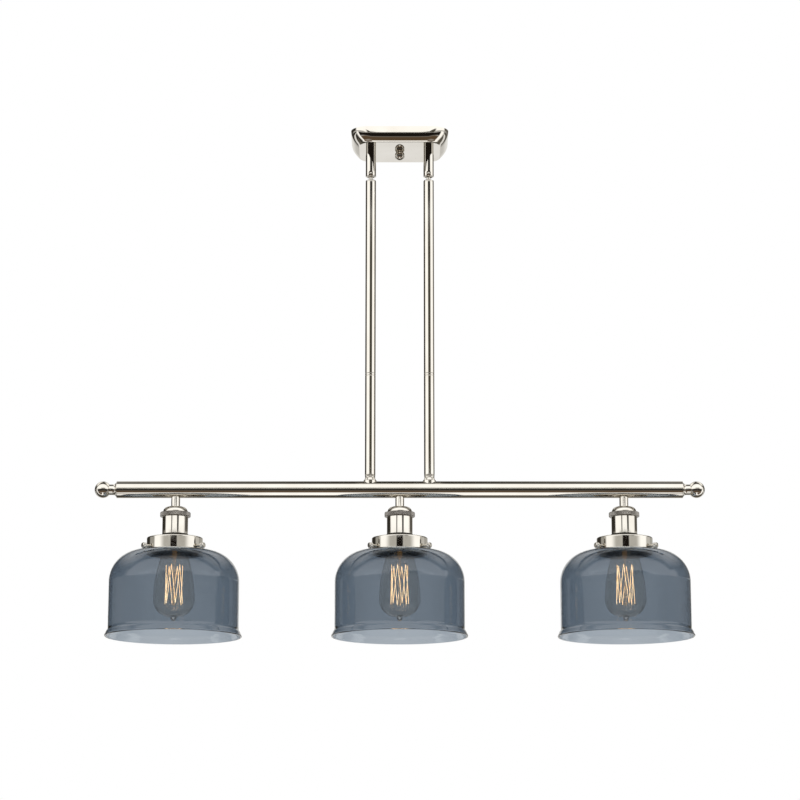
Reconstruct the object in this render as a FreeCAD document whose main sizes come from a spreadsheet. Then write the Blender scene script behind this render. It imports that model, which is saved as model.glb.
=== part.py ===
"""Linear island pendant: three glass-shaded lamps under a round bar, hung from a canopy by two jointed stems.

Millimetres. The origin is on the ceiling at the centre of the canopy, +X runs along the bar to the right,
+Y points away from the viewer and +Z is up. Heights below the ceiling are negative.
"""

import FreeCAD, Part
import math
import os

import Sketcher

Vector = FreeCAD.Vector
Placement = FreeCAD.Placement
Rotation = FreeCAD.Rotation

os.makedirs("parts", exist_ok=True)
doc = FreeCAD.newDocument("LinearIslandPendant")

# ---------------------------------------------------------------------------------------------
# Driving dimensions
# ---------------------------------------------------------------------------------------------

SIZES = [
    # ceiling hardware
    ("crossbar_length", 106.0, "strap across the ceiling box, along Y"),
    ("crossbar_width", 22.0, "width of the strap"),
    ("crossbar_thickness", 2.4, "thickness of the strap"),
    ("crossbar_corner", 3.0, "corner radius of the strap"),
    ("box_screw_spacing", 88.9, "centres of the two slots for the ceiling box's screws"),
    ("box_slot_length", 10.0, "end to end length of a slot"),
    ("box_slot_width", 4.8, "width of a slot"),
    ("ground_screw_place", 26.0, "distance of the ground screw from the centre"),
    ("ground_screw_diameter", 4.0, "shank of the ground screw"),
    ("ground_screw_head", 8.4, "head diameter of the ground screw"),
    ("ground_screw_head_height", 2.4, "head height of the ground screw"),
    ("ground_screw_round", 1.0, "rounding of that head"),
    ("stud_diameter", 8.0, "threaded stud that carries the canopy"),
    ("stud_reach", 8.5, "how far the stud stands out below the canopy"),
    ("stud_bevel", 0.8, "bevel on the foot of the stud"),
    ("stud_nut_flats", 13.0, "lock nut on the stud, across flats"),
    ("stud_nut_height", 5.0, "height of that nut"),
    # canopy
    ("canopy_length", 149.2, "canopy at the ceiling, along X"),
    ("canopy_depth", 114.3, "canopy at the ceiling, along Y"),
    ("canopy_height", 23.6, "ceiling to the canopy's flat floor"),
    ("canopy_corner", 27.0, "corner radius at the ceiling"),
    ("canopy_end_taper", 11.0, "how far each end draws in at the floor"),
    ("canopy_side_taper", 3.0, "how far the front and the back draw in at the floor"),
    ("canopy_shoulder_drop", 15.0, "depth of the shoulder section below the ceiling"),
    ("canopy_shoulder_end", 3.2, "how far each end draws in at the shoulder"),
    ("canopy_shoulder_side", 0.8, "how far the front and the back draw in at the shoulder"),
    ("canopy_edge_round", 3.0, "rounding around the floor"),
    ("canopy_wall", 1.2, "sheet thickness"),
    # ball nut
    ("ball_nut_diameter", 15.2, "ball nut under the canopy"),
    ("ball_nut_seat", 10.8, "diameter of the flat on which it meets the canopy"),
    ("ball_nut_spare", 0.5, "free depth of its thread past the stud"),
    # swivels
    ("swivel_spacing", 88.9, "centres of the two stems"),
    ("housing_length", 40.0, "swivel housing below the canopy"),
    ("housing_edge_round", 1.2, "rounding of the housing's lower edge"),
    ("ball_diameter", 12.0, "swivel ball"),
    ("ball_clearance", 0.1, "gap between the ball and its seat"),
    ("ball_rise", 5.0, "height of the ball's centre above the housing's mouth"),
    ("seat_depth", 3.6, "how far the spherical seat wraps below the ball's centre"),
    ("mouth_diameter", 11.8, "flared mouth of the housing"),
    ("neck_diameter", 5.8, "neck between the ball and the stem"),
    ("slot_clearance", 0.4, "gap on each side of the neck in the housing's slot"),
    ("swivel_gap", 5.4, "open gap between the housing and the stem"),
    ("shoulder_height", 2.5, "rounded shoulder on top of the stem"),
    ("shoulder_round", 1.5, "rounding of that shoulder"),
    ("wire_bore", 3.2, "bore through the ball and neck"),
    ("nipple_diameter", 9.8, "threaded nipple through the canopy"),
    ("nipple_bore", 6.0, "bore of that nipple"),
    ("nipple_rise", 10.5, "how far the nipple stands up inside the canopy"),
    ("nipple_plug_length", 12.0, "plug of the nipple inside the housing"),
    ("swivel_nut_flats", 14.0, "lock nut on the nipple, across flats"),
    ("swivel_nut_height", 5.0, "height of that nut"),
    # stems
    ("stem_diameter", 15.875, "stems and swivel housings"),
    ("stem_wall", 1.3, "wall of the stem tubes"),
    ("upper_stem_length", 304.8, "upper stem with its shoulder"),
    ("lower_stem_length", 152.4, "lower stem"),
    ("coupler_height", 3.6, "ring between two stems"),
    ("coupler_bore", 8.0, "bore of the coupler"),
    ("coupler_edge", 0.4, "bevel on the ring's two edges"),
    ("spigot_length", 10.0, "spigots inside the stem tubes"),
    ("fit", 0.05, "radial gap of a threaded or pushed fit"),
    # bar
    ("bar_diameter", 25.4, "round bar"),
    ("bar_wall", 1.5, "wall of the bar"),
    ("bar_length", 845.8, "bar without its finials"),
    ("hub_height", 9.5, "hub above the bar's crown"),
    ("hub_ring_height", 4.2, "plain ring on top of the hub"),
    ("hub_edge", 0.5, "rounding and bevel of that ring"),
    ("hub_groove", 0.7, "depth of the groove under that ring"),
    ("hub_bell_diameter", 18.4, "bell of the hub"),
    ("hub_flange_diameter", 19.8, "flange at the foot of the bell"),
    ("hub_flange_rise", 0.9, "top of the flange above the bar's crown"),
    ("hub_bell_rise", 0.5, "foot of the bell's curve above the flange"),
    ("hub_spigot_diameter", 9.8, "spigot that screws into the bar"),
    ("hub_bore", 5.5, "bore of the hub"),
    ("bar_spigot_reach", 3.0, "how far spigots stand out inside the bar's wall"),
    ("spigot_overlap", 1.0, "how far a spigot runs on into its own piece"),
    # finials
    ("finial_collar", 1.0, "collar of the finial"),
    ("finial_edge", 0.3, "bevel of that collar"),
    ("finial_neck_diameter", 16.0, "neck of the finial"),
    ("finial_cove", 6.0, "radius of the cove between the neck and the collar"),
    ("finial_ball_diameter", 25.0, "ball of the finial"),
    ("finial_ball_place", 21.8, "centre of the ball from the end of the bar"),
    ("finial_spigot_length", 14.0, "spigot inside the bar"),
    # lamps, with heights measured down from the bar's axis
    ("lamp_spacing", 335.5, "centre lamp to each outer lamp"),
    ("drop_diameter", 13.2, "short tube from the bar to a lamp"),
    ("drop_length", 13.6, "visible length of that tube"),
    ("drop_bore", 6.0, "bore of that tube"),
    ("drop_spigot_diameter", 9.8, "its threaded ends"),
    ("drop_spigot_length", 8.0, "its threaded end inside the socket cap"),
    ("cap_round", 7.8, "shoulder radius of the socket cap"),
    ("cap_inset", 0.7, "how much the cap's wall stands inside the barrel's"),
    ("cap_wall", 1.2, "wall of the socket cap"),
    ("ring_gap", 0.6, "straight wall of the cap above the knurled ring"),
    ("cap_skirt", 3.6, "cap's threaded skirt inside the knurled ring"),
    ("ring_wall", 3.4, "wall of the knurled ring"),
    ("ring_height", 6.8, "height of the knurled ring"),
    ("ring_lip", 1.2, "thickness of the ring's inner lip"),
    ("ring_round", 1.0, "rounding of the ring's outer edges"),
    ("ring_clearance", 0.1, "running gap inside the knurled ring"),
    ("barrel_diameter", 38.4, "socket barrel"),
    ("barrel_wall", 1.2, "wall of the barrel"),
    ("barrel_length", 26.0, "barrel between the knurled ring and its lip"),
    ("barrel_lip_reach", 0.7, "how far the lip at the barrel's foot stands out"),
    ("barrel_lip_height", 5.7, "height of that lip"),
    ("barrel_lip_edge", 0.3, "bevel of that lip"),
    ("fitter_diameter", 83.6, "shade fitter"),
    ("fitter_height", 19.8, "height of the fitter"),
    ("fitter_wall", 1.1, "wall of the fitter"),
    ("fitter_round", 1.6, "rounding of the fitter's top edge"),
    ("holder_top", 42.8, "top of the lampholder below the bar's axis"),
    ("holder_gap", 0.5, "gap between the lampholder and the barrel"),
    ("holder_step", 0.5, "step from the lampholder down to its threaded skirt"),
    ("holder_hole_gap", 0.2, "gap around the skirt in the fitter"),
    ("holder_skirt_length", 7.8, "skirt below the fitter's top"),
    ("contact_height", 1.8, "centre contact in the lampholder"),
    ("contact_diameter", 7.0, "head of that contact"),
    ("contact_rivet", 3.6, "rivet of that contact"),
    ("contact_gap", 0.2, "gap between the contact and the bulb's tip"),
    ("contact_cone", 0.8, "how far the contact's head narrows to its foot"),
    ("shell_wall", 0.5, "wall of the brass screw shell"),
    ("shell_length", 26.0, "length of the screw shell"),
    ("shell_drop", 1.5, "top of the shell below the bulb's tip"),
    ("lock_ring_wall", 6.1, "wall of the ring that clamps the fitter"),
    ("lock_ring_height", 4.0, "height of that ring"),
    # thumb screws
    ("screw_height", 5.3, "thumb screw above the fitter's lower edge"),
    ("screw_diameter", 4.0, "shank of a thumb screw"),
    ("screw_head_diameter", 8.3, "head of a thumb screw"),
    ("screw_head_length", 6.3, "length of that head"),
    ("screw_neck_length", 5.1, "shank between the fitter and the head"),
    ("screw_head_round", 1.2, "rounding of the head"),
    ("screw_bevel", 0.6, "bevel on the screw's tip and behind its head"),
    ("screw_clearance", 0.1, "gap around the shank in the fitter"),
    ("screw_seat_gap", 0.3, "gap between a screw's tip and the glass neck"),
    # glass shade
    ("glass_gap", 0.4, "gap between the fitter and the glass shoulder"),
    ("glass_wall", 3.0, "thickness of the glass"),
    ("glass_neck_diameter", 76.4, "neck inside the fitter"),
    ("glass_neck_height", 13.4, "neck above the shoulder"),
    ("glass_lip_diameter", 79.6, "lip on top of the neck"),
    ("glass_lip_height", 3.4, "height of that lip"),
    ("glass_root", 1.8, "radius between the neck and the shoulder"),
    ("glass_diameter", 193.4, "side of the shade"),
    ("glass_shoulder", 46.2, "radius of the shade's shoulder"),
    ("glass_height", 127.7, "shoulder to rim"),
    ("glass_rim_diameter", 203.2, "rim of the shade"),
    ("glass_flare_height", 13.3, "height of the flared rim"),
    ("glass_flare_round", 9.0, "radius at the waist above the flare"),
    ("glass_flare_bend", 5.6, "height of the curve that starts the flare"),
    ("glass_flare_reach", 2.06, "how far that curve brings the glass out"),
    ("glass_flare_step", 0.6, "how much lower that curve ends inside"),
    ("glass_rim_round", 1.45, "rounding of the rim"),
    ("glass_rim_bead", 0.1, "how much more than the rounding the rim is thick"),
    # bulb
    ("bulb_top", 51.5, "tip contact of the bulb below the bar's axis"),
    ("base_diameter", 26.3, "screw base over its crests"),
    ("base_root_depth", 0.45, "depth of its rolled thread"),
    ("base_pitch", 3.63, "pitch of the thread"),
    ("base_turns", 5.0, "number of crests"),
    ("base_wall", 0.4, "wall of the base"),
    ("base_cone", 4.2, "height of the insulating cone"),
    ("base_tip_diameter", 9.6, "tip contact"),
    ("base_tip_height", 1.6, "height of the tip contact"),
    ("base_collar", 3.6, "plain collar at the foot of the base"),
    ("base_plug", 1.0, "thickness of the base's end inside its thread"),
    ("base_bevel", 1.0, "narrowing of the tip contact"),
    ("base_clearance", 0.3, "gap between the base and the screw shell"),
    ("bulb_wall", 0.9, "thickness of the bulb's glass"),
    ("bulb_cement", 7.0, "length of the bulb's glass inside its base"),
    ("bulb_neck_step", 0.2, "plain glass below the base, before the neck widens"),
    ("bulb_neck_inner_step", 0.6, "the same inside the glass"),
    ("bulb_neck_diameter", 29.6, "neck of the bulb below its base"),
    ("bulb_neck_place", 83.5, "that neck below the bar's axis"),
    ("bulb_diameter", 62.4, "widest part of the bulb"),
    ("bulb_widest_place", 165.0, "widest part below the bar's axis"),
    ("bulb_side_round", 236.0, "long curve of the bulb's side"),
    ("bulb_dome_round", 26.5, "curve of the bulb's dome"),
    ("bulb_pip_diameter", 9.0, "sealed tip of the bulb"),
    ("bulb_pip_height", 5.9, "height of that tip below the dome"),
    ("bulb_pip_root", 1.6, "how much wider the tip's root is, as a radius"),
    ("bulb_pip_neck", 2.2, "height of the tip's hollow neck"),
    ("bulb_pip_neck_round", 2.6, "radius of that hollow neck"),
    ("bulb_pip_waist", 0.4, "how much the neck draws in"),
    ("bulb_pip_wall", 2.0, "thickness of the sealed tip"),
    ("mount_flare_diameter", 21.6, "flare of the glass mount"),
    ("mount_flare_rise", 4.0, "top of the flare above the foot of the base"),
    ("mount_flare_wall", 1.2, "height of the flare's edge"),
    ("mount_press_place", 100.0, "foot of the mount's cone below the bar's axis"),
    ("mount_press_diameter", 7.2, "mount at the foot of its cone"),
    ("mount_press_length", 14.0, "straight press at the foot of that cone"),
    ("mount_press_taper", 3.0, "taper from the press to the rod"),
    ("mount_rod_diameter", 3.2, "rod of the mount"),
    ("mount_bead_diameter", 5.2, "bead at the foot of the rod"),
    ("filament_top", 113.7, "top of the filament cage below the bar's axis"),
    ("filament_foot", 172.0, "foot of the filament cage below the bar's axis"),
    ("filament_top_radius", 12.4, "radius of the cage at its top"),
    ("filament_foot_radius", 13.8, "radius of the cage at its foot"),
    ("filament_wire", 0.6, "filament strand"),
    ("filament_bead", 0.9, "bead where two strands meet"),
    ("lead_rise", 2.4, "where a lead wire meets the mount, above the foot of its press"),
    ("filament_strands", 12.0, "number of strands up and down"),
]

sheet = doc.addObject("Spreadsheet::Sheet", "Sizes")
for row, (alias, size, meaning) in enumerate(SIZES, start=1):
    sheet.set("A%d" % row, meaning)
    sheet.set("B%d" % row, str(size))
    sheet.setAlias("B%d" % row, alias)
doc.recompute()


def value(expression):
    """The number that an expression on the sheet gives now."""
    return float(sheet.evalExpression(expression))


def s(alias):
    """A driving dimension, as a term of an expression."""
    return "Sizes." + alias


def half(alias):
    return "(Sizes.%s / 2)" % alias


def minus(*terms):
    """The sum of the terms, taken downwards."""
    return "-(" + " + ".join(terms) + ")"


def plus(*terms):
    return "(" + " + ".join(terms) + ")"


def less(first, *rest):
    """The first term with the rest taken away."""
    return "(" + " - ".join((first,) + rest) + ")"


# ---------------------------------------------------------------------------------------------
# Sketches and bodies
# ---------------------------------------------------------------------------------------------

LEFT_TURN = "left"
RIGHT_TURN = "right"


def new_body(name):
    body = doc.addObject("PartDesign::Body", name)
    body.Label = name
    return body


def origin_feature(body, role):
    for feature in body.Origin.OriginFeatures:
        if feature.Role == role:
            return feature
    raise ValueError("no origin feature " + role)


def new_sketch(body, plane, offset=None):
    """An empty sketch on one of the body's origin planes, moved along the plane's normal by an expression."""
    sketch = body.newObject("Sketcher::SketchObject", body.Label + "_sketch")
    sketch.AttachmentSupport = [(origin_feature(body, plane), "")]
    sketch.MapMode = "FlatFace"
    if offset is not None:
        sketch.AttachmentOffset = Placement(Vector(0, 0, value(offset)), Rotation())
        sketch.setExpression("AttachmentOffset.Base.z", offset)
    return sketch


def hold_point(sketch, geometry, end, across, up):
    """Holds a point of the sketch at two distances from the origin, each bound to an expression.
    Geometry -1 of a sketch is its horizontal axis and -2 its vertical axis."""
    for kind, expression, axis in (("DistanceX", across, -2), ("DistanceY", up, -1)):
        if expression == "0":
            sketch.addConstraint(Sketcher.Constraint("PointOnObject", geometry, end, axis))
            continue
        constraint = Sketcher.Constraint(kind, -1, 1, geometry, end, value(expression))
        index = sketch.addConstraint(constraint)
        name = "held_%d" % index
        sketch.renameConstraint(index, name)
        sketch.setExpression("Constraints." + name, expression)


def arc_between(start, end, radius, turn):
    """The shorter arc from start to end, and which of its two ends is the start."""
    chord = end - start
    middle = (start + end) * 0.5
    height = math.sqrt(max(0.0, radius**2 - chord.Length**2 / 4))
    to_the_left = Vector(-chord.y, chord.x, 0).normalize()
    centre = middle + to_the_left * (height if turn == LEFT_TURN else -height)
    first, last = (start, end) if turn == LEFT_TURN else (end, start)
    from_angle = math.atan2(first.y - centre.y, first.x - centre.x)
    to_angle = math.atan2(last.y - centre.y, last.x - centre.x)
    if to_angle <= from_angle:
        to_angle += 2 * math.pi
    circle = Part.Circle(centre, Vector(0, 0, 1), radius)
    return Part.ArcOfCircle(circle, from_angle, to_angle), (1, 2) if turn == LEFT_TURN else (2, 1)


def add_outline(sketch, corners):
    """Adds a closed outline. A corner is (across, up) where a straight side ends there, or
    (across, up, radius, turn) where the side that ends there is an arc that turns left or right."""
    points = [Vector(value(corner[0]), value(corner[1]), 0) for corner in corners]
    sides = []
    for number, corner in enumerate(corners):
        start = points[number - 1]
        end = points[number]
        if len(corner) == 2:
            geometry = sketch.addGeometry(Part.LineSegment(start, end), False)
            sides.append((geometry, 1, 2))
        else:
            arc, ends = arc_between(start, end, value(corner[2]), corner[3])
            geometry = sketch.addGeometry(arc, False)
            sides.append((geometry, ends[0], ends[1]))
    for number, side in enumerate(sides):
        following = sides[(number + 1) % len(sides)]
        sketch.addConstraint(
            Sketcher.Constraint("Coincident", side[0], side[2], following[0], following[1])
        )
    for side, corner in zip(sides, corners):
        hold_point(sketch, side[0], side[2], corner[0], corner[1])
        if len(corner) == 4:
            index = sketch.addConstraint(Sketcher.Constraint("Radius", side[0], value(corner[2])))
            name = "radius_%d" % index
            sketch.renameConstraint(index, name)
            sketch.setExpression("Constraints." + name, corner[2])


def add_circle(sketch, across, up, radius):
    circle = Part.Circle(Vector(value(across), value(up), 0), Vector(0, 0, 1), value(radius))
    geometry = sketch.addGeometry(circle, False)
    hold_point(sketch, geometry, 3, across, up)
    index = sketch.addConstraint(Sketcher.Constraint("Radius", geometry, value(radius)))
    name = "radius_%d" % index
    sketch.renameConstraint(index, name)
    sketch.setExpression("Constraints." + name, radius)


def rounded_rectangle(half_across, half_up, corner):
    """Corners of a rectangle about the origin with round corners."""
    inner_across = less(half_across, corner)
    inner_up = less(half_up, corner)
    return [
        (inner_across, minus(half_up)),
        (half_across, minus(inner_up), corner, LEFT_TURN),
        (half_across, inner_up),
        (inner_across, half_up, corner, LEFT_TURN),
        (minus(inner_across), half_up),
        (minus(half_across), inner_up, corner, LEFT_TURN),
        (minus(half_across), minus(inner_up)),
        (minus(inner_across), minus(half_up), corner, LEFT_TURN),
    ]


def hexagon(flats):
    """Corners of a hexagon about the origin, by its distance across flats."""
    side = "(%s / sqrt(3))" % flats
    apothem = "(%s / 2)" % flats
    return [
        (side, "0"),
        ("(%s / 2)" % side, apothem),
        ("-(%s / 2)" % side, apothem),
        ("-" + side, "0"),
        ("-(%s / 2)" % side, "-" + apothem),
        ("(%s / 2)" % side, "-" + apothem),
    ]


def turned(name, corners):
    """A body turned about its Z axis. Corners are (radius, height), as for add_outline."""
    body = new_body(name)
    sketch = new_sketch(body, "XZ_Plane")
    add_outline(sketch, corners)
    revolution = body.newObject("PartDesign::Revolution", name + "_turning")
    revolution.Profile = sketch
    revolution.ReferenceAxis = (sketch, ["V_Axis"])
    revolution.Angle = 360
    return body


def padded_plate(name, corners, thickness, bore=None):
    """A flat piece whose top is the body's XY plane, with a round bore through its middle."""
    body = new_body(name)
    sketch = new_sketch(body, "XY_Plane")
    add_outline(sketch, corners)
    if bore is not None:
        add_circle(sketch, "0", "0", bore)
    pad = body.newObject("PartDesign::Pad", name + "_plate")
    pad.Profile = sketch
    pad.Length = value(thickness)
    pad.setExpression("Length", thickness)
    pad.Reversed = True
    return body


def pocket(body, sketch, reverse, length=None):
    """Cuts a sketch out of the body, through everything or over a length."""
    cut = body.newObject("PartDesign::Pocket", body.Label + "_pocket")
    cut.Profile = sketch
    cut.Reversed = reverse
    if length is None:
        cut.Type = "ThroughAll"
    else:
        cut.Length = value(length)
        cut.setExpression("Length", length)
    return cut


def cylinder_feature(body, kind, plane, radius, start, length):
    """A cylinder added to the body or cut from it. It stands on the plane and starts at an offset."""
    feature = body.newObject("PartDesign::%sCylinder" % kind, body.Label + "_cylinder")
    feature.AttachmentSupport = [(origin_feature(body, plane), "")]
    feature.MapMode = "FlatFace"
    feature.AttachmentOffset = Placement(Vector(0, 0, value(start)), Rotation())
    feature.setExpression("AttachmentOffset.Base.z", start)
    feature.Radius = value(radius)
    feature.setExpression("Radius", radius)
    feature.Height = value(length)
    feature.setExpression("Height", length)
    return feature


def place(body, across="0", depth="0", up="0", turn=None):
    """Moves a body to a place given by expressions, after a turn if there is one."""
    base = Vector(value(across), value(depth), value(up))
    body.Placement = Placement(base, turn or Rotation())
    for letter, expression in (("x", across), ("y", depth), ("z", up)):
        if expression != "0":
            body.setExpression("Placement.Base." + letter, expression)
    return body


NODES = []


def node(piece):
    """Notes a piece that is written to a file of its own, and gives it back."""
    NODES.append(piece)
    return piece


def group(name, members):
    """One node of like pieces, each a solid of its own."""
    compound = doc.addObject("Part::Compound", name)
    compound.Label = name
    compound.Links = members
    return node(compound)


# ---------------------------------------------------------------------------------------------
# Shared radii and heights
# ---------------------------------------------------------------------------------------------

STEM_RADIUS = half("stem_diameter")
STEM_BORE = less(STEM_RADIUS, s("stem_wall"))
SPIGOT_RADIUS = less(STEM_BORE, s("fit"))
BALL_RADIUS = half("ball_diameter")
SEAT_RADIUS = plus(BALL_RADIUS, s("ball_clearance"))
NECK_RADIUS = half("neck_diameter")
BAR_RADIUS = half("bar_diameter")
SADDLE_RADIUS = plus(BAR_RADIUS, s("fit"))
BAR_BORE = less(BAR_RADIUS, s("bar_wall"))
BARREL_RADIUS = half("barrel_diameter")
CAP_RADIUS = less(BARREL_RADIUS, s("cap_inset"))
RING_BORE = plus(BARREL_RADIUS, s("ring_clearance"))
RING_RADIUS = plus(RING_BORE, s("ring_wall"))
HOLDER_RADIUS = less(BARREL_RADIUS, s("barrel_wall"), s("holder_gap"))
HOLDER_SKIRT = less(HOLDER_RADIUS, s("holder_step"))

CANOPY_FLOOR = minus(s("canopy_height"))
CANOPY_INSIDE = minus(s("canopy_height"), "-" + s("canopy_wall"))
HOUSING_MOUTH = [s("canopy_height"), s("housing_length")]
BALL_CENTRE = minus(*HOUSING_MOUTH, "-" + s("ball_rise"))
STEM_TOP = HOUSING_MOUTH + [s("swivel_gap")]
UPPER_STEM_FOOT = STEM_TOP + [s("upper_stem_length")]
LOWER_STEM_TOP = UPPER_STEM_FOOT + [s("coupler_height")]
LOWER_STEM_FOOT = LOWER_STEM_TOP + [s("lower_stem_length")]
BAR_AXIS = minus(*LOWER_STEM_FOOT, s("hub_height"), BAR_RADIUS)

STEM_PLACES = (("left", "-" + half("swivel_spacing")), ("right", half("swivel_spacing")))
LAMP_PLACES = (("left", "-" + s("lamp_spacing")), ("center", "0"), ("right", s("lamp_spacing")))

# heights in a lamp, measured down from the bar's axis
CAP_TOP = [BAR_RADIUS, s("drop_length")]
CAP_FOOT = CAP_TOP + [s("cap_round")]
RING_TOP = CAP_FOOT + [s("ring_gap")]
RING_FOOT = RING_TOP + [s("ring_height")]
BARREL_FOOT = RING_FOOT + [s("barrel_length")]
FITTER_TOP = BARREL_FOOT + [s("barrel_lip_height")]
FITTER_FOOT = FITTER_TOP + [s("fitter_height")]
GLASS_TOP = FITTER_FOOT + [s("glass_gap")]

# ---------------------------------------------------------------------------------------------
# Ceiling hardware and canopy
# ---------------------------------------------------------------------------------------------


def make_crossbar():
    bar = padded_plate(
        "mounting_crossbar",
        rounded_rectangle(half("crossbar_width"), half("crossbar_length"), s("crossbar_corner")),
        s("crossbar_thickness"),
        plus(half("stud_diameter"), s("fit")),
    )
    slots = new_sketch(bar, "XY_Plane")
    slot_radius = half("box_slot_width")
    for side in ("", "-"):
        middle = side + half("box_screw_spacing")
        inner = plus(middle, "-" + half("box_slot_length"), slot_radius)
        outer = plus(middle, half("box_slot_length"), "-" + slot_radius)
        add_outline(slots, [
            (slot_radius, outer),
            ("0", plus(outer, slot_radius), slot_radius, LEFT_TURN),
            ("-" + slot_radius, outer, slot_radius, LEFT_TURN),
            ("-" + slot_radius, inner),
            ("0", less(inner, slot_radius), slot_radius, LEFT_TURN),
            (slot_radius, inner, slot_radius, LEFT_TURN),
        ])
    add_circle(slots, "0", s("ground_screw_place"), plus(half("ground_screw_diameter"), s("fit")))
    pocket(bar, slots, reverse=False)
    return node(bar)


def make_ceiling_hardware():
    thickness = s("crossbar_thickness")
    stud_radius = half("stud_diameter")
    node(turned("canopy_stud", [
        ("0", minus(s("canopy_height"), s("stud_reach"))),
        (less(stud_radius, s("stud_bevel")), minus(s("canopy_height"), s("stud_reach"))),
        (stud_radius, minus(s("canopy_height"), s("stud_reach"), "-" + s("stud_bevel"))),
        (stud_radius, "0"),
        ("0", "0"),
    ]))
    nut = padded_plate(
        "stud_lock_nut", hexagon(s("stud_nut_flats")), s("stud_nut_height"), plus(stud_radius, s("fit"))
    )
    node(place(nut, up=minus(thickness)))
    head = half("ground_screw_head")
    head_round = s("ground_screw_round")
    screw = turned("ground_screw", [
        ("0", "0"),
        ("0", minus(thickness, s("ground_screw_head_height"))),
        (less(head, head_round), minus(thickness, s("ground_screw_head_height"))),
        (head, minus(thickness, s("ground_screw_head_height"), "-" + head_round), head_round, LEFT_TURN),
        (head, minus(thickness)),
        (half("ground_screw_diameter"), minus(thickness)),
        (half("ground_screw_diameter"), "0"),
    ])
    node(place(screw, depth=s("ground_screw_place")))


def canopy_section(body, end_inset, side_inset, height, inset):
    """One section of the canopy: the ceiling outline drawn in at its ends and at its sides."""
    sketch = new_sketch(body, "XY_Plane", height)
    corner = less(s("canopy_corner"), side_inset, inset)
    add_outline(sketch, rounded_rectangle(
        less(half("canopy_length"), end_inset, inset),
        less(half("canopy_depth"), side_inset, inset),
        corner,
    ))
    return sketch


def canopy_loft(body, kind, floor, inset):
    """The canopy's outer form, or its hollow, as a smooth loft from the ceiling to the floor."""
    sections = [
        canopy_section(body, "0", "0", "0", inset),
        canopy_section(
            body, s("canopy_shoulder_end"), s("canopy_shoulder_side"),
            minus(s("canopy_shoulder_drop")), inset,
        ),
        canopy_section(body, s("canopy_end_taper"), s("canopy_side_taper"), floor, inset),
    ]
    loft = body.newObject("PartDesign::%sLoft" % kind, "canopy_%s_loft" % kind.lower())
    loft.Profile = sections[0]
    loft.Sections = sections[1:]
    loft.Ruled = False
    loft.Closed = False
    return loft


def edges_at_height(shape, height):
    """Names of the edges that lie flat at a height, with half the sheet's thickness to spare."""
    spare = value(s("canopy_wall")) / 2
    names = []
    for number, edge in enumerate(shape.Edges, start=1):
        box = edge.BoundBox
        if abs(box.ZMin - height) < spare and abs(box.ZMax - height) < spare:
            names.append("Edge%d" % number)
    return names


def round_canopy_floor(body, loft, height, radius):
    doc.recompute()
    fillet = body.newObject("PartDesign::Fillet", "canopy_floor_round")
    fillet.Base = (loft, edges_at_height(loft.Shape, value(height)))
    fillet.Radius = value(radius)
    fillet.setExpression("Radius", radius)


def make_canopy():
    canopy = new_body("canopy_shell")
    outer = canopy_loft(canopy, "Additive", CANOPY_FLOOR, "0")
    round_canopy_floor(canopy, outer, CANOPY_FLOOR, s("canopy_edge_round"))
    canopy_loft(canopy, "Subtractive", CANOPY_INSIDE, s("canopy_wall"))
    holes = new_sketch(canopy, "XY_Plane", CANOPY_INSIDE)
    add_circle(holes, "0", "0", plus(half("stud_diameter"), s("fit")))
    for _, across in STEM_PLACES:
        add_circle(holes, across, "0", plus(half("nipple_diameter"), s("fit")))
    pocket(canopy, holes, reverse=False)
    return node(canopy)


def make_ball_nut():
    radius = half("ball_nut_diameter")
    seat = half("ball_nut_seat")
    bore = plus(half("stud_diameter"), s("fit"))
    centre_drop = "sqrt(%s^2 - %s^2)" % (radius, seat)
    bore_depth = plus(s("stud_reach"), s("ball_nut_spare"))
    nut = turned("canopy_ball_nut", [
        (bore, "0"),
        (seat, "0"),
        (radius, minus(centre_drop), radius, RIGHT_TURN),
        ("0", minus(centre_drop, radius), radius, RIGHT_TURN),
        ("0", minus(bore_depth)),
        (bore, minus(bore_depth)),
    ])
    return node(place(nut, up=CANOPY_FLOOR))


# ---------------------------------------------------------------------------------------------
# Swivels and stems
# ---------------------------------------------------------------------------------------------


def make_housing(side, across):
    """A tube closed below by a spherical seat, with a slot that lets the neck swing to the front."""
    length = s("housing_length")
    edge = s("housing_edge_round")
    seat_height = minus(length, "-" + s("ball_rise"))
    lip_radius = "sqrt(%s^2 - %s^2)" % (SEAT_RADIUS, s("seat_depth"))
    housing = turned("swivel_housing_" + side, [
        (SEAT_RADIUS, "0"),
        (STEM_RADIUS, "0"),
        (STEM_RADIUS, minus(length, "-" + edge)),
        (less(STEM_RADIUS, edge), minus(length), edge, RIGHT_TURN),
        (half("mouth_diameter"), minus(length)),
        (lip_radius, minus(length, "-" + s("ball_rise"), s("seat_depth"))),
        (SEAT_RADIUS, seat_height, SEAT_RADIUS, LEFT_TURN),
    ])
    slot = new_sketch(housing, "XZ_Plane")
    slot_radius = plus(NECK_RADIUS, s("slot_clearance"))
    below = minus(length, s("swivel_gap"))
    add_outline(slot, [
        (slot_radius, seat_height),
        ("0", plus(seat_height, slot_radius), slot_radius, LEFT_TURN),
        ("-" + slot_radius, seat_height, slot_radius, LEFT_TURN),
        ("-" + slot_radius, below),
        (slot_radius, below),
    ])
    pocket(housing, slot, reverse=True)
    return place(housing, across, up=CANOPY_FLOOR)


def make_nipple(side, across):
    """Screws into the housing from above and stands up through the canopy."""
    nipple = turned("swivel_nipple_" + side, [
        (half("nipple_bore"), s("nipple_rise")),
        (half("nipple_diameter"), s("nipple_rise")),
        (half("nipple_diameter"), "0"),
        (less(SEAT_RADIUS, s("fit")), "0"),
        (less(SEAT_RADIUS, s("fit")), minus(s("nipple_plug_length"))),
        (half("nipple_bore"), minus(s("nipple_plug_length"))),
    ])
    return place(nipple, across, up=CANOPY_FLOOR)


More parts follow.
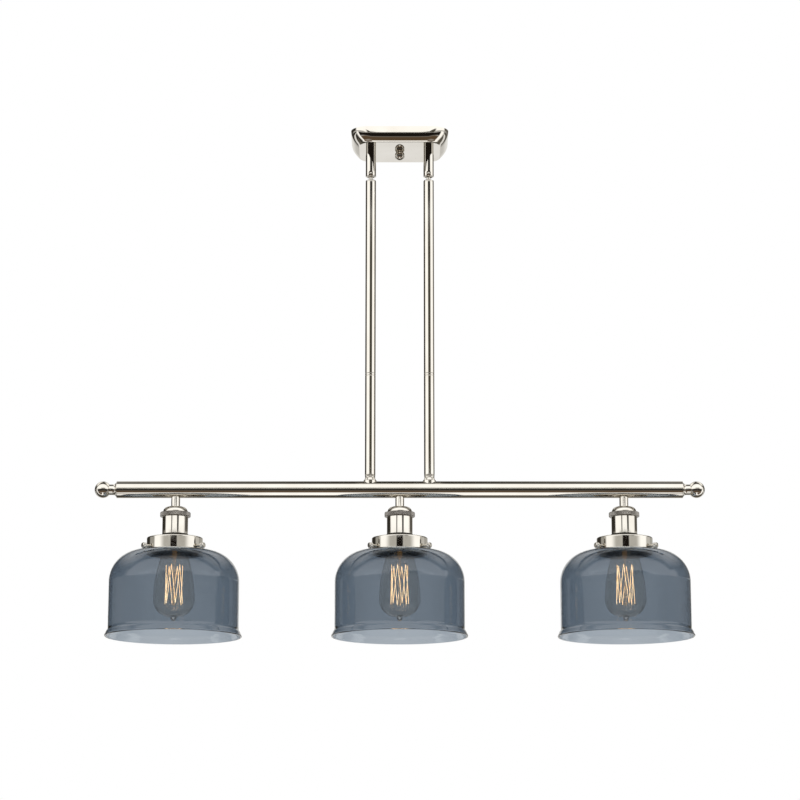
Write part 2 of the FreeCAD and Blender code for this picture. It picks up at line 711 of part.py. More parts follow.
def make_swivel_nut(side, across):
    nut = padded_plate(
        "swivel_lock_nut_" + side, hexagon(s("swivel_nut_flats")), s("swivel_nut_height"),
        plus(half("nipple_diameter"), s("fit")),
    )
    return place(nut, across, up=plus(CANOPY_INSIDE, s("swivel_nut_height")))


def make_swivel_ball(side, across):
    """Ball, neck and rounded shoulder, with a spigot inside the upper stem.
    Its origin is the ball's centre."""
    bore = half("wire_bore")
    shoulder_top = plus(s("ball_rise"), s("swivel_gap"))
    shoulder_foot = [shoulder_top, s("shoulder_height")]
    spigot_foot = shoulder_foot + [s("spigot_length")]
    ball = turned("swivel_ball_" + side, [
        (bore, "sqrt(%s^2 - %s^2)" % (BALL_RADIUS, bore)),
        (NECK_RADIUS, "-sqrt(%s^2 - %s^2)" % (BALL_RADIUS, NECK_RADIUS), BALL_RADIUS, RIGHT_TURN),
        (NECK_RADIUS, minus(shoulder_top)),
        (less(STEM_RADIUS, s("shoulder_round")), minus(shoulder_top)),
        (STEM_RADIUS, minus(shoulder_top, s("shoulder_round")), s("shoulder_round"), RIGHT_TURN),
        (STEM_RADIUS, minus(*shoulder_foot)),
        (SPIGOT_RADIUS, minus(*shoulder_foot)),
        (SPIGOT_RADIUS, minus(*spigot_foot)),
        (bore, minus(*spigot_foot)),
    ])
    return place(ball, across, up=BALL_CENTRE)


def make_tube(name, across, top, foot):
    tube = turned(name, [
        (STEM_BORE, minus(*top)),
        (STEM_RADIUS, minus(*top)),
        (STEM_RADIUS, minus(*foot)),
        (STEM_BORE, minus(*foot)),
    ])
    return node(place(tube, across))


def make_coupler(side, across):
    """A ring between two stems, with a spigot up and a spigot down. Its origin is the ring's top."""
    bore = half("coupler_bore")
    edge = s("coupler_edge")
    foot = s("coupler_height")
    coupler = turned("stem_coupler_" + side, [
        (bore, s("spigot_length")),
        (SPIGOT_RADIUS, s("spigot_length")),
        (SPIGOT_RADIUS, "0"),
        (less(STEM_RADIUS, edge), "0"),
        (STEM_RADIUS, minus(edge)),
        (STEM_RADIUS, minus(foot, "-" + edge)),
        (less(STEM_RADIUS, edge), minus(foot)),
        (SPIGOT_RADIUS, minus(foot)),
        (SPIGOT_RADIUS, minus(foot, s("spigot_length"))),
        (bore, minus(foot, s("spigot_length"))),
    ])
    return place(coupler, across, up=minus(*UPPER_STEM_FOOT))


def make_hub(side, across):
    """A ring and a bell that sit astride the bar. Its origin is on the bar's axis."""
    top = plus(BAR_RADIUS, s("hub_height"))
    ring_foot = less(top, s("hub_ring_height"))
    groove = less(STEM_RADIUS, s("hub_groove"))
    bell = half("hub_bell_diameter")
    flange = half("hub_flange_diameter")
    flange_top = plus(BAR_RADIUS, s("hub_flange_rise"))
    bell_foot = plus(flange_top, s("hub_bell_rise"))
    edge = s("hub_edge")
    inside = "(%s / 2)" % BAR_RADIUS
    hub = turned("bar_hub_" + side, [
        ("0", plus(top, s("spigot_length"))),
        (SPIGOT_RADIUS, plus(top, s("spigot_length"))),
        (SPIGOT_RADIUS, top),
        (less(STEM_RADIUS, edge), top),
        (STEM_RADIUS, less(top, edge), edge, RIGHT_TURN),
        (STEM_RADIUS, plus(ring_foot, edge)),
        (groove, ring_foot),
        (bell, bell_foot, less(ring_foot, bell_foot), RIGHT_TURN),
        (flange, flange_top),
        (flange, inside),
        ("0", inside),
    ])
    cylinder_feature(
        hub, "Subtractive", "YZ_Plane", SADDLE_RADIUS, "-" + s("hub_flange_diameter"),
        "2 * " + s("hub_flange_diameter"),
    )
    spigot_foot = less(BAR_BORE, s("bar_spigot_reach"))
    cylinder_feature(
        hub, "Additive", "XY_Plane", half("hub_spigot_diameter"), spigot_foot,
        less(plus(SADDLE_RADIUS, s("spigot_overlap")), spigot_foot),
    )
    cylinder_feature(
        hub, "Subtractive", "XY_Plane", half("hub_bore"), "0",
        plus(top, s("spigot_length"), s("spigot_overlap")),
    )
    return place(hub, across, up=BAR_AXIS)


def make_stems():
    group("swivel_housings", [make_housing(*stem) for stem in STEM_PLACES])
    group("swivel_nipples", [make_nipple(*stem) for stem in STEM_PLACES])
    group("swivel_lock_nuts", [make_swivel_nut(*stem) for stem in STEM_PLACES])
    group("swivel_balls", [make_swivel_ball(*stem) for stem in STEM_PLACES])
    for side, across in STEM_PLACES:
        make_tube("upper_stem_" + side, across, STEM_TOP + [s("shoulder_height")], UPPER_STEM_FOOT)
        make_tube("lower_stem_" + side, across, LOWER_STEM_TOP, LOWER_STEM_FOOT)
    group("stem_couplers", [make_coupler(*stem) for stem in STEM_PLACES])
    group("bar_hubs", [make_hub(*stem) for stem in STEM_PLACES])


# ---------------------------------------------------------------------------------------------
# Bar and finials
# ---------------------------------------------------------------------------------------------


def make_bar():
    """A tube along X, with holes on top for the hubs and below for the lamps."""
    bar = new_body("bar_tube")
    section = new_sketch(bar, "YZ_Plane", "-" + half("bar_length"))
    add_circle(section, "0", "0", BAR_RADIUS)
    add_circle(section, "0", "0", BAR_BORE)
    pad = bar.newObject("PartDesign::Pad", "bar_pad")
    pad.Profile = section
    pad.Length = value(s("bar_length"))
    pad.setExpression("Length", s("bar_length"))
    above = new_sketch(bar, "XY_Plane")
    for _, across in STEM_PLACES:
        add_circle(above, across, "0", plus(half("hub_spigot_diameter"), s("fit")))
    pocket(bar, above, reverse=True)
    below = new_sketch(bar, "XY_Plane")
    for _, across in LAMP_PLACES:
        add_circle(below, across, "0", plus(half("drop_spigot_diameter"), s("fit")))
    pocket(bar, below, reverse=False)
    return node(place(bar, up=BAR_AXIS))


def make_finial(side, direction):
    """Ball, neck, cove and collar, with a spigot inside the bar. Turned upright, then laid along the bar."""
    ball = half("finial_ball_diameter")
    centre = s("finial_ball_place")
    neck = half("finial_neck_diameter")
    cove = s("finial_cove")
    edge = s("finial_edge")
    cove_end = less(plus(neck, cove), less(BAR_RADIUS, edge))
    cove_rise = less(cove, "sqrt(%s^2 - %s^2)" % (cove, cove_end))
    collar = s("finial_collar")
    finial = turned("finial_" + side, [
        ("0", plus(centre, ball)),
        (ball, centre, ball, RIGHT_TURN),
        (neck, less(centre, "sqrt(%s^2 - %s^2)" % (ball, neck)), ball, RIGHT_TURN),
        (neck, plus(collar, cove)),
        (less(BAR_RADIUS, edge), plus(collar, cove_rise), cove, LEFT_TURN),
        (BAR_RADIUS, less(collar, edge)),
        (BAR_RADIUS, "0"),
        (less(BAR_BORE, s("fit")), "0"),
        (less(BAR_BORE, s("fit")), minus(s("finial_spigot_length"))),
        ("0", minus(s("finial_spigot_length"))),
    ])
    turn = Rotation(Vector(0, 1, 0), 90 * direction)
    across = half("bar_length") if direction > 0 else "-" + half("bar_length")
    return node(place(finial, across, up=BAR_AXIS, turn=turn))


# ---------------------------------------------------------------------------------------------
# Lamps
# ---------------------------------------------------------------------------------------------


def make_drop_stem(side, across):
    """A short tube whose top is cut to sit under the bar, threaded at both ends."""
    radius = half("drop_diameter")
    spigot = half("drop_spigot_diameter")
    bar_middle = "(%s / 2)" % BAR_RADIUS
    drop = turned("drop_stem_" + side, [
        ("0", minus(bar_middle)),
        (radius, minus(bar_middle)),
        (radius, minus(*CAP_TOP)),
        (spigot, minus(*CAP_TOP)),
        (spigot, minus(*CAP_TOP, s("drop_spigot_length"))),
        ("0", minus(*CAP_TOP, s("drop_spigot_length"))),
    ])
    cylinder_feature(
        drop, "Subtractive", "YZ_Plane", SADDLE_RADIUS, "-" + s("drop_diameter"),
        "2 * " + s("drop_diameter"),
    )
    spigot_top = less(BAR_BORE, s("bar_spigot_reach"))
    spigot_foot = plus(SADDLE_RADIUS, s("spigot_overlap"))
    cylinder_feature(
        drop, "Additive", "XY_Plane", spigot, minus(spigot_foot), less(spigot_foot, spigot_top)
    )
    cylinder_feature(
        drop, "Subtractive", "XY_Plane", half("drop_bore"),
        minus(*CAP_TOP, s("drop_spigot_length"), s("spigot_overlap")),
        plus(*CAP_TOP, s("drop_spigot_length")),
    )
    return place(drop, across, up=BAR_AXIS)


def make_socket_cap(side, across):
    """A low dome with a flange below it that the knurled ring catches."""
    outer = CAP_RADIUS
    flange = BARREL_RADIUS
    wall = s("cap_wall")
    hole = plus(half("drop_spigot_diameter"), s("fit"))
    inner_round = less(s("cap_round"), wall)
    flange_top = RING_TOP + [s("ring_lip"), s("ring_clearance")]
    flange_foot = flange_top + [s("cap_skirt")]
    cap = turned("socket_cap_" + side, [
        (hole, minus(*CAP_TOP)),
        (less(outer, s("cap_round")), minus(*CAP_TOP)),
        (outer, minus(*CAP_FOOT), s("cap_round"), RIGHT_TURN),
        (outer, minus(*flange_top)),
        (flange, minus(*flange_top)),
        (flange, minus(*flange_foot)),
        (less(outer, wall), minus(*flange_foot)),
        (less(outer, wall), minus(*CAP_FOOT)),
        (less(outer, s("cap_round")), minus(*CAP_TOP, wall), inner_round, LEFT_TURN),
        (hole, minus(*CAP_TOP, wall)),
    ])
    return node(place(cap, across, up=BAR_AXIS))


def make_knurled_ring(side, across):
    """A union ring: its lip catches the cap's flange and its bore runs over the barrel."""
    outer = RING_RADIUS
    edge = s("ring_round")
    lip = plus(CAP_RADIUS, s("ring_clearance"))
    bore = RING_BORE
    lip_foot = minus(*RING_TOP, s("ring_lip"))
    ring = turned("knurled_ring_" + side, [
        (lip, minus(*RING_TOP)),
        (less(outer, edge), minus(*RING_TOP)),
        (outer, minus(*RING_TOP, edge), edge, RIGHT_TURN),
        (outer, minus(*RING_FOOT, "-" + edge)),
        (less(outer, edge), minus(*RING_FOOT), edge, RIGHT_TURN),
        (bore, minus(*RING_FOOT)),
        (bore, lip_foot),
        (lip, lip_foot),
    ])
    return node(place(ring, across, up=BAR_AXIS))


def make_barrel(side, across):
    outer = BARREL_RADIUS
    bore = less(outer, s("barrel_wall"))
    lip = plus(BARREL_RADIUS, s("barrel_lip_reach"))
    edge = s("barrel_lip_edge")
    top = RING_TOP + [s("ring_lip"), s("ring_clearance"), s("cap_skirt")]
    barrel = turned("socket_barrel_" + side, [
        (bore, minus(*top)),
        (outer, minus(*top)),
        (outer, minus(*BARREL_FOOT)),
        (less(lip, edge), minus(*BARREL_FOOT)),
        (lip, minus(*BARREL_FOOT, edge)),
        (lip, minus(*FITTER_TOP)),
        (bore, minus(*FITTER_TOP)),
    ])
    return node(place(barrel, across, up=BAR_AXIS))


def make_fitter(side, across):
    """A cup over the glass neck, with a hole for the lampholder and three for the thumb screws."""
    outer = half("fitter_diameter")
    wall = s("fitter_wall")
    edge = s("fitter_round")
    hole = plus(HOLDER_SKIRT, s("holder_hole_gap"))
    fitter = turned("shade_fitter_" + side, [
        (hole, minus(*FITTER_TOP)),
        (less(outer, edge), minus(*FITTER_TOP)),
        (outer, minus(*FITTER_TOP, edge), edge, RIGHT_TURN),
        (outer, minus(*FITTER_FOOT)),
        (less(outer, wall), minus(*FITTER_FOOT)),
        (less(outer, wall), minus(*FITTER_TOP, edge)),
        (less(outer, edge), minus(*FITTER_TOP, wall), less(edge, wall), LEFT_TURN),
        (hole, minus(*FITTER_TOP, wall)),
    ])
    screw_hole = new_sketch(fitter, "XZ_Plane")
    add_circle(
        screw_hole, "0", minus(*FITTER_FOOT, "-" + s("screw_height")),
        plus(half("screw_diameter"), s("screw_clearance")),
    )
    cut = pocket(fitter, screw_hole, reverse=False)
    pattern = fitter.newObject("PartDesign::PolarPattern", "screw_holes")
    pattern.Originals = [cut]
    pattern.Axis = (origin_feature(fitter, "Z_Axis"), [""])
    pattern.Angle = 360
    pattern.Occurrences = len(SCREW_DIRECTIONS)
    fitter.Tip = pattern
    return node(place(fitter, across, up=BAR_AXIS))


SCREW_DIRECTIONS = (("back", 90), ("front_left", 210), ("front_right", 330))


def make_thumb_screw(lamp_side, across, screw_side, angle):
    """A shank through the fitter with a round knob. Turned upright, then laid along its direction."""
    shank = half("screw_diameter")
    head = half("screw_head_diameter")
    edge = s("screw_head_round")
    bevel = s("screw_bevel")
    tip = plus(half("glass_neck_diameter"), s("screw_seat_gap"))
    head_foot = plus(half("fitter_diameter"), s("screw_neck_length"))
    head_top = plus(head_foot, s("screw_head_length"))
    screw = turned("thumb_screw_%s_%s" % (lamp_side, screw_side), [
        ("0", tip),
        ("0", head_top),
        (less(head, edge), head_top),
        (head, less(head_top, edge), edge, RIGHT_TURN),
        (head, plus(head_foot, bevel)),
        (less(head, bevel), head_foot),
        (shank, head_foot),
        (shank, plus(tip, bevel)),
        (less(shank, bevel), tip),
    ])
    turn = Rotation(Vector(0, 0, 1), angle) * Rotation(Vector(0, 1, 0), 90)
    up = plus(BAR_AXIS, minus(*FITTER_FOOT, "-" + s("screw_height")))
    return node(place(screw, across, up=up, turn=turn))


def make_lampholder(side, across):
    """Insulating body inside the barrel, with a skirt through the fitter and a bore for the screw shell."""
    outer = HOLDER_RADIUS
    skirt = HOLDER_SKIRT
    bore = plus(SHELL_OUTER, s("fit"))
    bore_top = minus(s("bulb_top"), "-" + s("contact_height"), "-" + s("contact_gap"))
    foot = minus(*FITTER_TOP, s("holder_skirt_length"))
    rivet = plus(half("contact_rivet"), s("fit"))
    holder = turned("lampholder_" + side, [
        (rivet, minus(s("holder_top"))),
        (outer, minus(s("holder_top"))),
        (outer, minus(*FITTER_TOP)),
        (skirt, minus(*FITTER_TOP)),
        (skirt, foot),
        (bore, foot),
        (bore, bore_top),
        (rivet, bore_top),
    ])
    return place(holder, across, up=BAR_AXIS)


SHELL_OUTER = plus(half("base_diameter"), s("base_clearance"), s("shell_wall"))


def make_screw_shell(side, across):
    top = plus(s("bulb_top"), s("shell_drop"))
    inner = less(SHELL_OUTER, s("shell_wall"))
    shell = turned("screw_shell_" + side, [
        (inner, minus(top)),
        (SHELL_OUTER, minus(top)),
        (SHELL_OUTER, minus(top, s("shell_length"))),
        (inner, minus(top, s("shell_length"))),
    ])
    return place(shell, across, up=BAR_AXIS)


def make_center_contact(side, across):
    """A rivet in the lampholder whose head meets the bulb's tip."""
    foot = minus(s("bulb_top"), "-" + s("contact_gap"))
    head_top = minus(s("bulb_top"), "-" + s("contact_height"), "-" + s("contact_gap"))
    contact = turned("center_contact_" + side, [
        ("0", minus(s("holder_top"))),
        (half("contact_rivet"), minus(s("holder_top"))),
        (half("contact_rivet"), head_top),
        (half("contact_diameter"), head_top),
        (less(half("contact_diameter"), s("contact_cone")), foot),
        ("0", foot),
    ])
    return place(contact, across, up=BAR_AXIS)


def make_lock_ring(side, across):
    inner = plus(HOLDER_SKIRT, s("fit"))
    outer = plus(inner, s("lock_ring_wall"))
    top = FITTER_TOP + [s("fitter_wall")]
    ring = turned("shade_lock_ring_" + side, [
        (inner, minus(*top)),
        (outer, minus(*top)),
        (outer, minus(*top, s("lock_ring_height"))),
        (inner, minus(*top, s("lock_ring_height"))),
    ])
    return place(ring, across, up=BAR_AXIS)


def make_glass_shade(side, across):
    """Lip and neck inside the fitter, a flat top, a round shoulder, a straight side and a flared rim."""
    wall = s("glass_wall")
    neck = half("glass_neck_diameter")
    lip = half("glass_lip_diameter")
    root = s("glass_root")
    outer = half("glass_diameter")
    bend = s("glass_shoulder")
    rim = half("glass_rim_diameter")
    lip_top = minus(*GLASS_TOP, "-" + s("glass_neck_height"))
    lip_foot = minus(*GLASS_TOP, "-" + s("glass_neck_height"), s("glass_lip_height"))
    shoulder_foot = minus(*GLASS_TOP, bend)
    waist = minus(*GLASS_TOP, s("glass_height"), "-" + s("glass_flare_height"))
    foot = GLASS_TOP + [s("glass_height")]
    waist_end = less(waist, s("glass_flare_bend"))
    flare = plus(outer, s("glass_flare_reach"))
    rim_inside = less(rim, "2 * " + s("glass_rim_round"), s("glass_rim_bead"))
    flare_inside = less(flare, wall)
    rim_round = s("glass_rim_round")
    shade = turned("glass_shade_" + side, [
        (less(neck, wall), lip_top),
        (lip, lip_top),
        (lip, lip_foot),
        (neck, less(lip_foot, less(lip, neck))),
        (neck, minus(*GLASS_TOP, "-" + root)),
        (plus(neck, root), minus(*GLASS_TOP), root, LEFT_TURN),
        (less(outer, bend), minus(*GLASS_TOP)),
        (outer, shoulder_foot, bend, RIGHT_TURN),
        (outer, waist),
        (flare, waist_end, s("glass_flare_round"), LEFT_TURN),
        (rim, minus(*foot, "-" + rim_round)),
        (less(rim, rim_round), minus(*foot), rim_round, RIGHT_TURN),
        (rim_inside, minus(*foot, "-" + rim_round), plus(rim_round, s("glass_rim_bead")), RIGHT_TURN),
        (flare_inside, less(waist_end, s("glass_flare_step"))),
        (less(outer, wall), waist, plus(s("glass_flare_round"), wall), RIGHT_TURN),
        (less(outer, wall), shoulder_foot),
        (less(outer, bend), minus(*GLASS_TOP, wall), less(bend, wall), LEFT_TURN),
        (plus(neck, root), minus(*GLASS_TOP, wall)),
        (less(neck, wall), minus(*GLASS_TOP, "-" + root), plus(root, wall), RIGHT_TURN),
    ])
    return node(place(shade, across, up=BAR_AXIS))


# ---------------------------------------------------------------------------------------------
# Bulbs
# ---------------------------------------------------------------------------------------------

BASE_CREST = half("base_diameter")
BASE_ROOT = less(BASE_CREST, s("base_root_depth"))
BASE_BORE = less(BASE_ROOT, s("base_wall"))
THREAD_TOP = [s("bulb_top"), s("base_tip_height"), s("base_cone")]
THREAD_FOOT = THREAD_TOP + ["%s * %s" % (s("base_turns"), s("base_pitch"))]
BASE_FOOT = THREAD_FOOT + [s("base_collar")]


def make_bulb_base(side, across):
    """A screw base: tip contact, insulating cone, rolled thread drawn as rings, and a plain collar."""
    corners = [
        ("0", minus(s("bulb_top"))),
        (less(half("base_tip_diameter"), s("base_bevel")), minus(s("bulb_top"))),
        (half("base_tip_diameter"), minus(s("bulb_top"), s("base_tip_height"))),
        (BASE_ROOT, minus(*THREAD_TOP)),
    ]
    for turn in range(int(value(s("base_turns")))):
        middle = plus(*THREAD_TOP, "%g * %s" % (turn + 0.5, s("base_pitch")))
        foot = plus(*THREAD_TOP, "%g * %s" % (turn + 1, s("base_pitch")))
        corners.append((BASE_CREST, minus(middle)))
        corners.append((BASE_ROOT, minus(foot)))
    corners += [
        (BASE_ROOT, minus(*BASE_FOOT)),
        (BASE_BORE, minus(*BASE_FOOT)),
        (BASE_BORE, minus(*THREAD_TOP, s("base_plug"))),
        ("0", minus(*THREAD_TOP, s("base_plug"))),
    ]
    base = turned("bulb_base_" + side, corners)
    return node(place(base, across, up=BAR_AXIS))


def make_bulb_glass(side, across):
    """A hollow envelope: cemented neck, long side, dome and sealed tip."""
    wall = s("bulb_wall")
    in_base = less(BASE_BORE, s("fit"))
    neck = half("bulb_neck_diameter")
    widest = half("bulb_diameter")
    side_round = s("bulb_side_round")
    dome = s("bulb_dome_round")
    top = minus(*BASE_FOOT, "-" + s("bulb_cement"))
    base_foot = minus(*BASE_FOOT)
    neck_place = minus(s("bulb_neck_place"))
    widest_place = minus(s("bulb_widest_place"))
    flat = less(widest, dome)
    pip = half("bulb_pip_diameter")
    pip_root = plus(pip, s("bulb_pip_root"))
    root_drop = "sqrt(%s^2 - %s^2)" % (dome, less(pip_root, flat))
    dome_foot = [s("bulb_widest_place"), root_drop]
    pip_waist = dome_foot + [s("bulb_pip_neck")]
    pip_tip = [s("bulb_widest_place"), dome, s("bulb_pip_height")]
    bulb = turned("bulb_glass_" + side, [
        (less(in_base, wall), top),
        (in_base, top),
        (in_base, less(base_foot, s("bulb_neck_step"))),
        (neck, neck_place),
        (widest, widest_place, side_round, RIGHT_TURN),
        (pip_root, minus(*dome_foot), dome, RIGHT_TURN),
        (less(pip, s("bulb_pip_waist")), minus(*pip_waist), s("bulb_pip_neck_round"), LEFT_TURN),
        ("0", minus(*pip_tip), plus(pip, s("bulb_pip_waist")), RIGHT_TURN),
        ("0", minus(*pip_tip, "-" + s("bulb_pip_wall"))),
        (less(pip_root, wall), minus(*dome_foot, "-" + wall)),
        (less(widest, wall), widest_place, less(dome, wall), LEFT_TURN),
        (less(neck, wall), neck_place, less(side_round, wall), LEFT_TURN),
        (less(in_base, wall), less(base_foot, s("bulb_neck_inner_step"))),
    ])
    return node(place(bulb, across, up=BAR_AXIS))


def make_bulb_stem(side, across):
    """The glass mount: a flare in the neck, a cone to the press, and a rod down the middle."""
    flare = half("mount_flare_diameter")
    flare_top = minus(*BASE_FOOT, "-" + s("mount_flare_rise"))
    press = half("mount_press_diameter")
    rod = half("mount_rod_diameter")
    bead = half("mount_bead_diameter")
    press_place = minus(s("mount_press_place"))
    bead_place = minus(s("filament_foot"))
    bead_rise = "sqrt(%s^2 - %s^2)" % (bead, rod)
    stem = turned("bulb_stem_" + side, [
        ("0", flare_top),
        (flare, flare_top),
        (flare, less(flare_top, s("mount_flare_wall"))),
        (press, plus(press_place, s("mount_press_length"))),
        (press, press_place),
        (rod, less(press_place, s("mount_press_taper"))),
        (rod, plus(bead_place, bead_rise)),
        (bead, bead_place, bead, RIGHT_TURN),
        ("0", less(bead_place, bead), bead, RIGHT_TURN),
    ])
    return node(place(stem, across, up=BAR_AXIS))


def wire(start, end, radius):
    """A straight piece of wire."""
    direction = end - start
    return Part.makeCylinder(radius, direction.Length, start, direction)


def filament_shape():
    """A cage of strands up and down, spokes that hold its foot to the mount's rod and two lead wires."""
    strands = int(value(s("filament_strands")))
    top = -value(s("filament_top"))
    foot = -value(s("filament_foot"))
    radius = value(half("filament_wire"))
    points = []
    for number in range(strands):
        angle = 2 * math.pi * (number + 0.5) / strands
        at_top = number % 2 == 0
        reach = value(s("filament_top_radius" if at_top else "filament_foot_radius"))
        height = top if at_top else foot
        points.append(Vector(reach * math.cos(angle), reach * math.sin(angle), height))
    pieces = [Part.makeSphere(value(half("filament_bead")), point) for point in points]
    pieces += [wire(points[number - 1], points[number], radius) for number in range(1, strands)]
    bead = value(half("mount_bead_diameter")) + value(s("fit"))
    for point in points[1::2]:
        inner = Vector(point.x, point.y, 0).normalize() * bead
        pieces.append(wire(Vector(inner.x, inner.y, foot), point, radius))
    press = value(half("mount_press_diameter")) + value(s("fit"))
    press_height = value(s("lead_rise")) - value(s("mount_press_place"))
    for point in (points[0], points[strands - 2]):
        outward = Vector(point.x, point.y, 0).normalize()
        lead = Vector(outward.x * (press + radius), outward.y * (press + radius), press_height)
        pieces.append(wire(lead, point, radius))
    return pieces[0].multiFuse(pieces[1:])


def make_filament(side, across, shape):
    filament = doc.addObject("Part::Feature", "bulb_filament_" + side)
    filament.Label = "bulb_filament_" + side
    filament.Shape = shape
    return node(place(filament, across, up=BAR_AXIS))


def make_lamps():
    group("drop_stems", [make_drop_stem(*lamp) for lamp in LAMP_PLACES])
    group("lampholders", [make_lampholder(*lamp) for lamp in LAMP_PLACES])
    group("screw_shells", [make_screw_shell(*lamp) for lamp in LAMP_PLACES])
    group("center_contacts", [make_center_contact(*lamp) for lamp in LAMP_PLACES])
    group("shade_lock_rings", [make_lock_ring(*lamp) for lamp in LAMP_PLACES])
    cage = filament_shape()
    for side, across in LAMP_PLACES:
        make_socket_cap(side, across)
        make_knurled_ring(side, across)
        make_barrel(side, across)
        make_fitter(side, across)
        make_glass_shade(side, across)
        make_bulb_base(side, across)
        make_bulb_glass(side, across)
        make_bulb_stem(side, across)
        make_filament(side, across, cage)
        for screw_side, angle in SCREW_DIRECTIONS:
            make_thumb_screw(side, across, screw_side, angle)


# ---------------------------------------------------------------------------------------------
# Build, check and write
# ---------------------------------------------------------------------------------------------


def check_document():
    """Stops if any object failed or any piece has no valid shape."""
    for item in doc.Objects:
        if "Invalid" in item.State or "Error" in item.State:
            raise RuntimeError("%s failed: %s" % (item.Label, item.State))
    for piece in NODES:
        if piece.Shape.isNull() or not piece.Shape.isValid():
            raise RuntimeError(piece.Label + " has no valid shape")
        if not piece.Shape.Solids:
            raise RuntimeError(piece.Label + " has no solid")


make_crossbar()
make_ceiling_hardware()
make_canopy()
make_ball_nut()
make_stems()
make_bar()
make_finial("left", -1)
make_finial("right", 1)
make_lamps()
doc.recompute()
check_document()
for piece in NODES:
    piece.Shape.exportStep("parts/%s.step" % piece.Label)
print("%d nodes, %d solids" % (len(NODES), sum(len(piece.Shape.Solids) for piece in NODES)))
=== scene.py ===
import math

import bpy
from mathutils import Matrix, Vector


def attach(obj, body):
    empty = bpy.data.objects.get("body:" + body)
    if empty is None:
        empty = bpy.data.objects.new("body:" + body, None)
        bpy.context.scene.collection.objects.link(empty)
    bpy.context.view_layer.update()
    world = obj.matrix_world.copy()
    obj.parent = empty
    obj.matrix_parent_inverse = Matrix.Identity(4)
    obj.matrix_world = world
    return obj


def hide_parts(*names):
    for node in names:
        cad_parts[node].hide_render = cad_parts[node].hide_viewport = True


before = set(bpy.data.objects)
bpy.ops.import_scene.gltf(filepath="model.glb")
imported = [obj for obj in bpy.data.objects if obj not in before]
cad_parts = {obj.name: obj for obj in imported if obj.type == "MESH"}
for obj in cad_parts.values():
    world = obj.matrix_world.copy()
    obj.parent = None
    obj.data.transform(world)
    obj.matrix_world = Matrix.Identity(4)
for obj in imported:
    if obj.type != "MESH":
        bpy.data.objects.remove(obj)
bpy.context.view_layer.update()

MM = 0.001
FULL_TURN = 2 * math.pi
QUARTER_TURN = math.pi / 2
TINY = 1e-6
LAMP_SIDES = (("left", -1), ("center", 0), ("right", 1))
END_SIDES = (("left", -1), ("right", 1))

# ---------------------------------------------------------------------------------------------
# Sizes in millimetres, from the ceiling down. Heights count from the ceiling, so they are negative.
# ---------------------------------------------------------------------------------------------

CANOPY_HALF_LENGTH = 74.6
CANOPY_HALF_DEPTH = 57.15
CANOPY_HEIGHT = 23.6
CANOPY_CORNER = 27.0

STEM_X = 44.45
STEM_R = 7.9375
STEM_BORE_R = 6.6375
SPIGOT_R = 6.585
SPIGOT_LENGTH = 10.0
BALL_Z = -58.6
STEM_TOP = -69.0
SHOULDER_HEIGHT = 2.5
UPPER_STEM_LENGTH = 304.8
COUPLER_HEIGHT = 3.6
LOWER_STEM_LENGTH = 152.4
HUB_HEIGHT = 9.5
UPPER_STEM_FOOT = STEM_TOP - UPPER_STEM_LENGTH
LOWER_STEM_TOP = UPPER_STEM_FOOT - COUPLER_HEIGHT
LOWER_STEM_FOOT = LOWER_STEM_TOP - LOWER_STEM_LENGTH

BAR_R = 12.7
BAR_BORE_R = 11.2
BAR_HALF = 422.9
BAR_Z = LOWER_STEM_FOOT - HUB_HEIGHT - BAR_R

LAMP_X = 335.5
DROP_STEM_LENGTH = 13.6
CAP_R = 18.5
CAP_HEIGHT = 7.8
CAP_TO_RING = 0.6
RING_R = 22.7
RING_HEIGHT = 6.8
BARREL_R = 19.2
BARREL_LENGTH = 26.0
LIP_HEIGHT = 5.7
FITTER_R = 41.8
FITTER_HEIGHT = 19.8
CAP_TOP = BAR_Z - BAR_R - DROP_STEM_LENGTH
CAP_FOOT = CAP_TOP - CAP_HEIGHT
RING_TOP = CAP_FOOT - CAP_TO_RING
RING_FOOT = RING_TOP - RING_HEIGHT
FLANGE_TOP = RING_TOP - 1.3
FLANGE_FOOT = RING_TOP - 4.9
BARREL_FOOT = RING_FOOT - BARREL_LENGTH
FITTER_TOP = BARREL_FOOT - LIP_HEIGHT
FITTER_FOOT = FITTER_TOP - FITTER_HEIGHT
SCREW_Z = FITTER_FOOT + 5.3
SCREW_DIRECTIONS = (("back", 90), ("front_left", 210), ("front_right", 330))

GLASS_GAP = 0.4
GLASS_HEIGHT = 127.7
GLASS_TOP = FITTER_FOOT - GLASS_GAP
GLASS_FOOT = GLASS_TOP - GLASS_HEIGHT

BULB_TOP = BAR_Z - 51.5
CONTACT_HEIGHT = 1.6
INSULATOR_HEIGHT = 4.2
THREAD_PITCH = 3.63
THREAD_TURNS = 5
SKIRT_HEIGHT = 3.6
THREAD_CREST_R = 13.15
BASE_FOOT = BULB_TOP - CONTACT_HEIGHT - INSULATOR_HEIGHT - THREAD_TURNS * THREAD_PITCH - SKIRT_HEIGHT

# ---------------------------------------------------------------------------------------------
# Mesh making
# ---------------------------------------------------------------------------------------------

# The way round an arc goes, in an outline of (radius, height) points
LEFT_TURN = 1
RIGHT_TURN = -1

SMOOTH_ANGLE = 32.0
CORNER_TURN = math.radians(24)
CORNER_SHARE = 0.42
CORNER_STEPS = (0.0, 0.33, 0.67, 1.0)
SAME_POINT = 1e-4
HOLD_SHARE = 2.5
HOLD_LEAST = 0.3


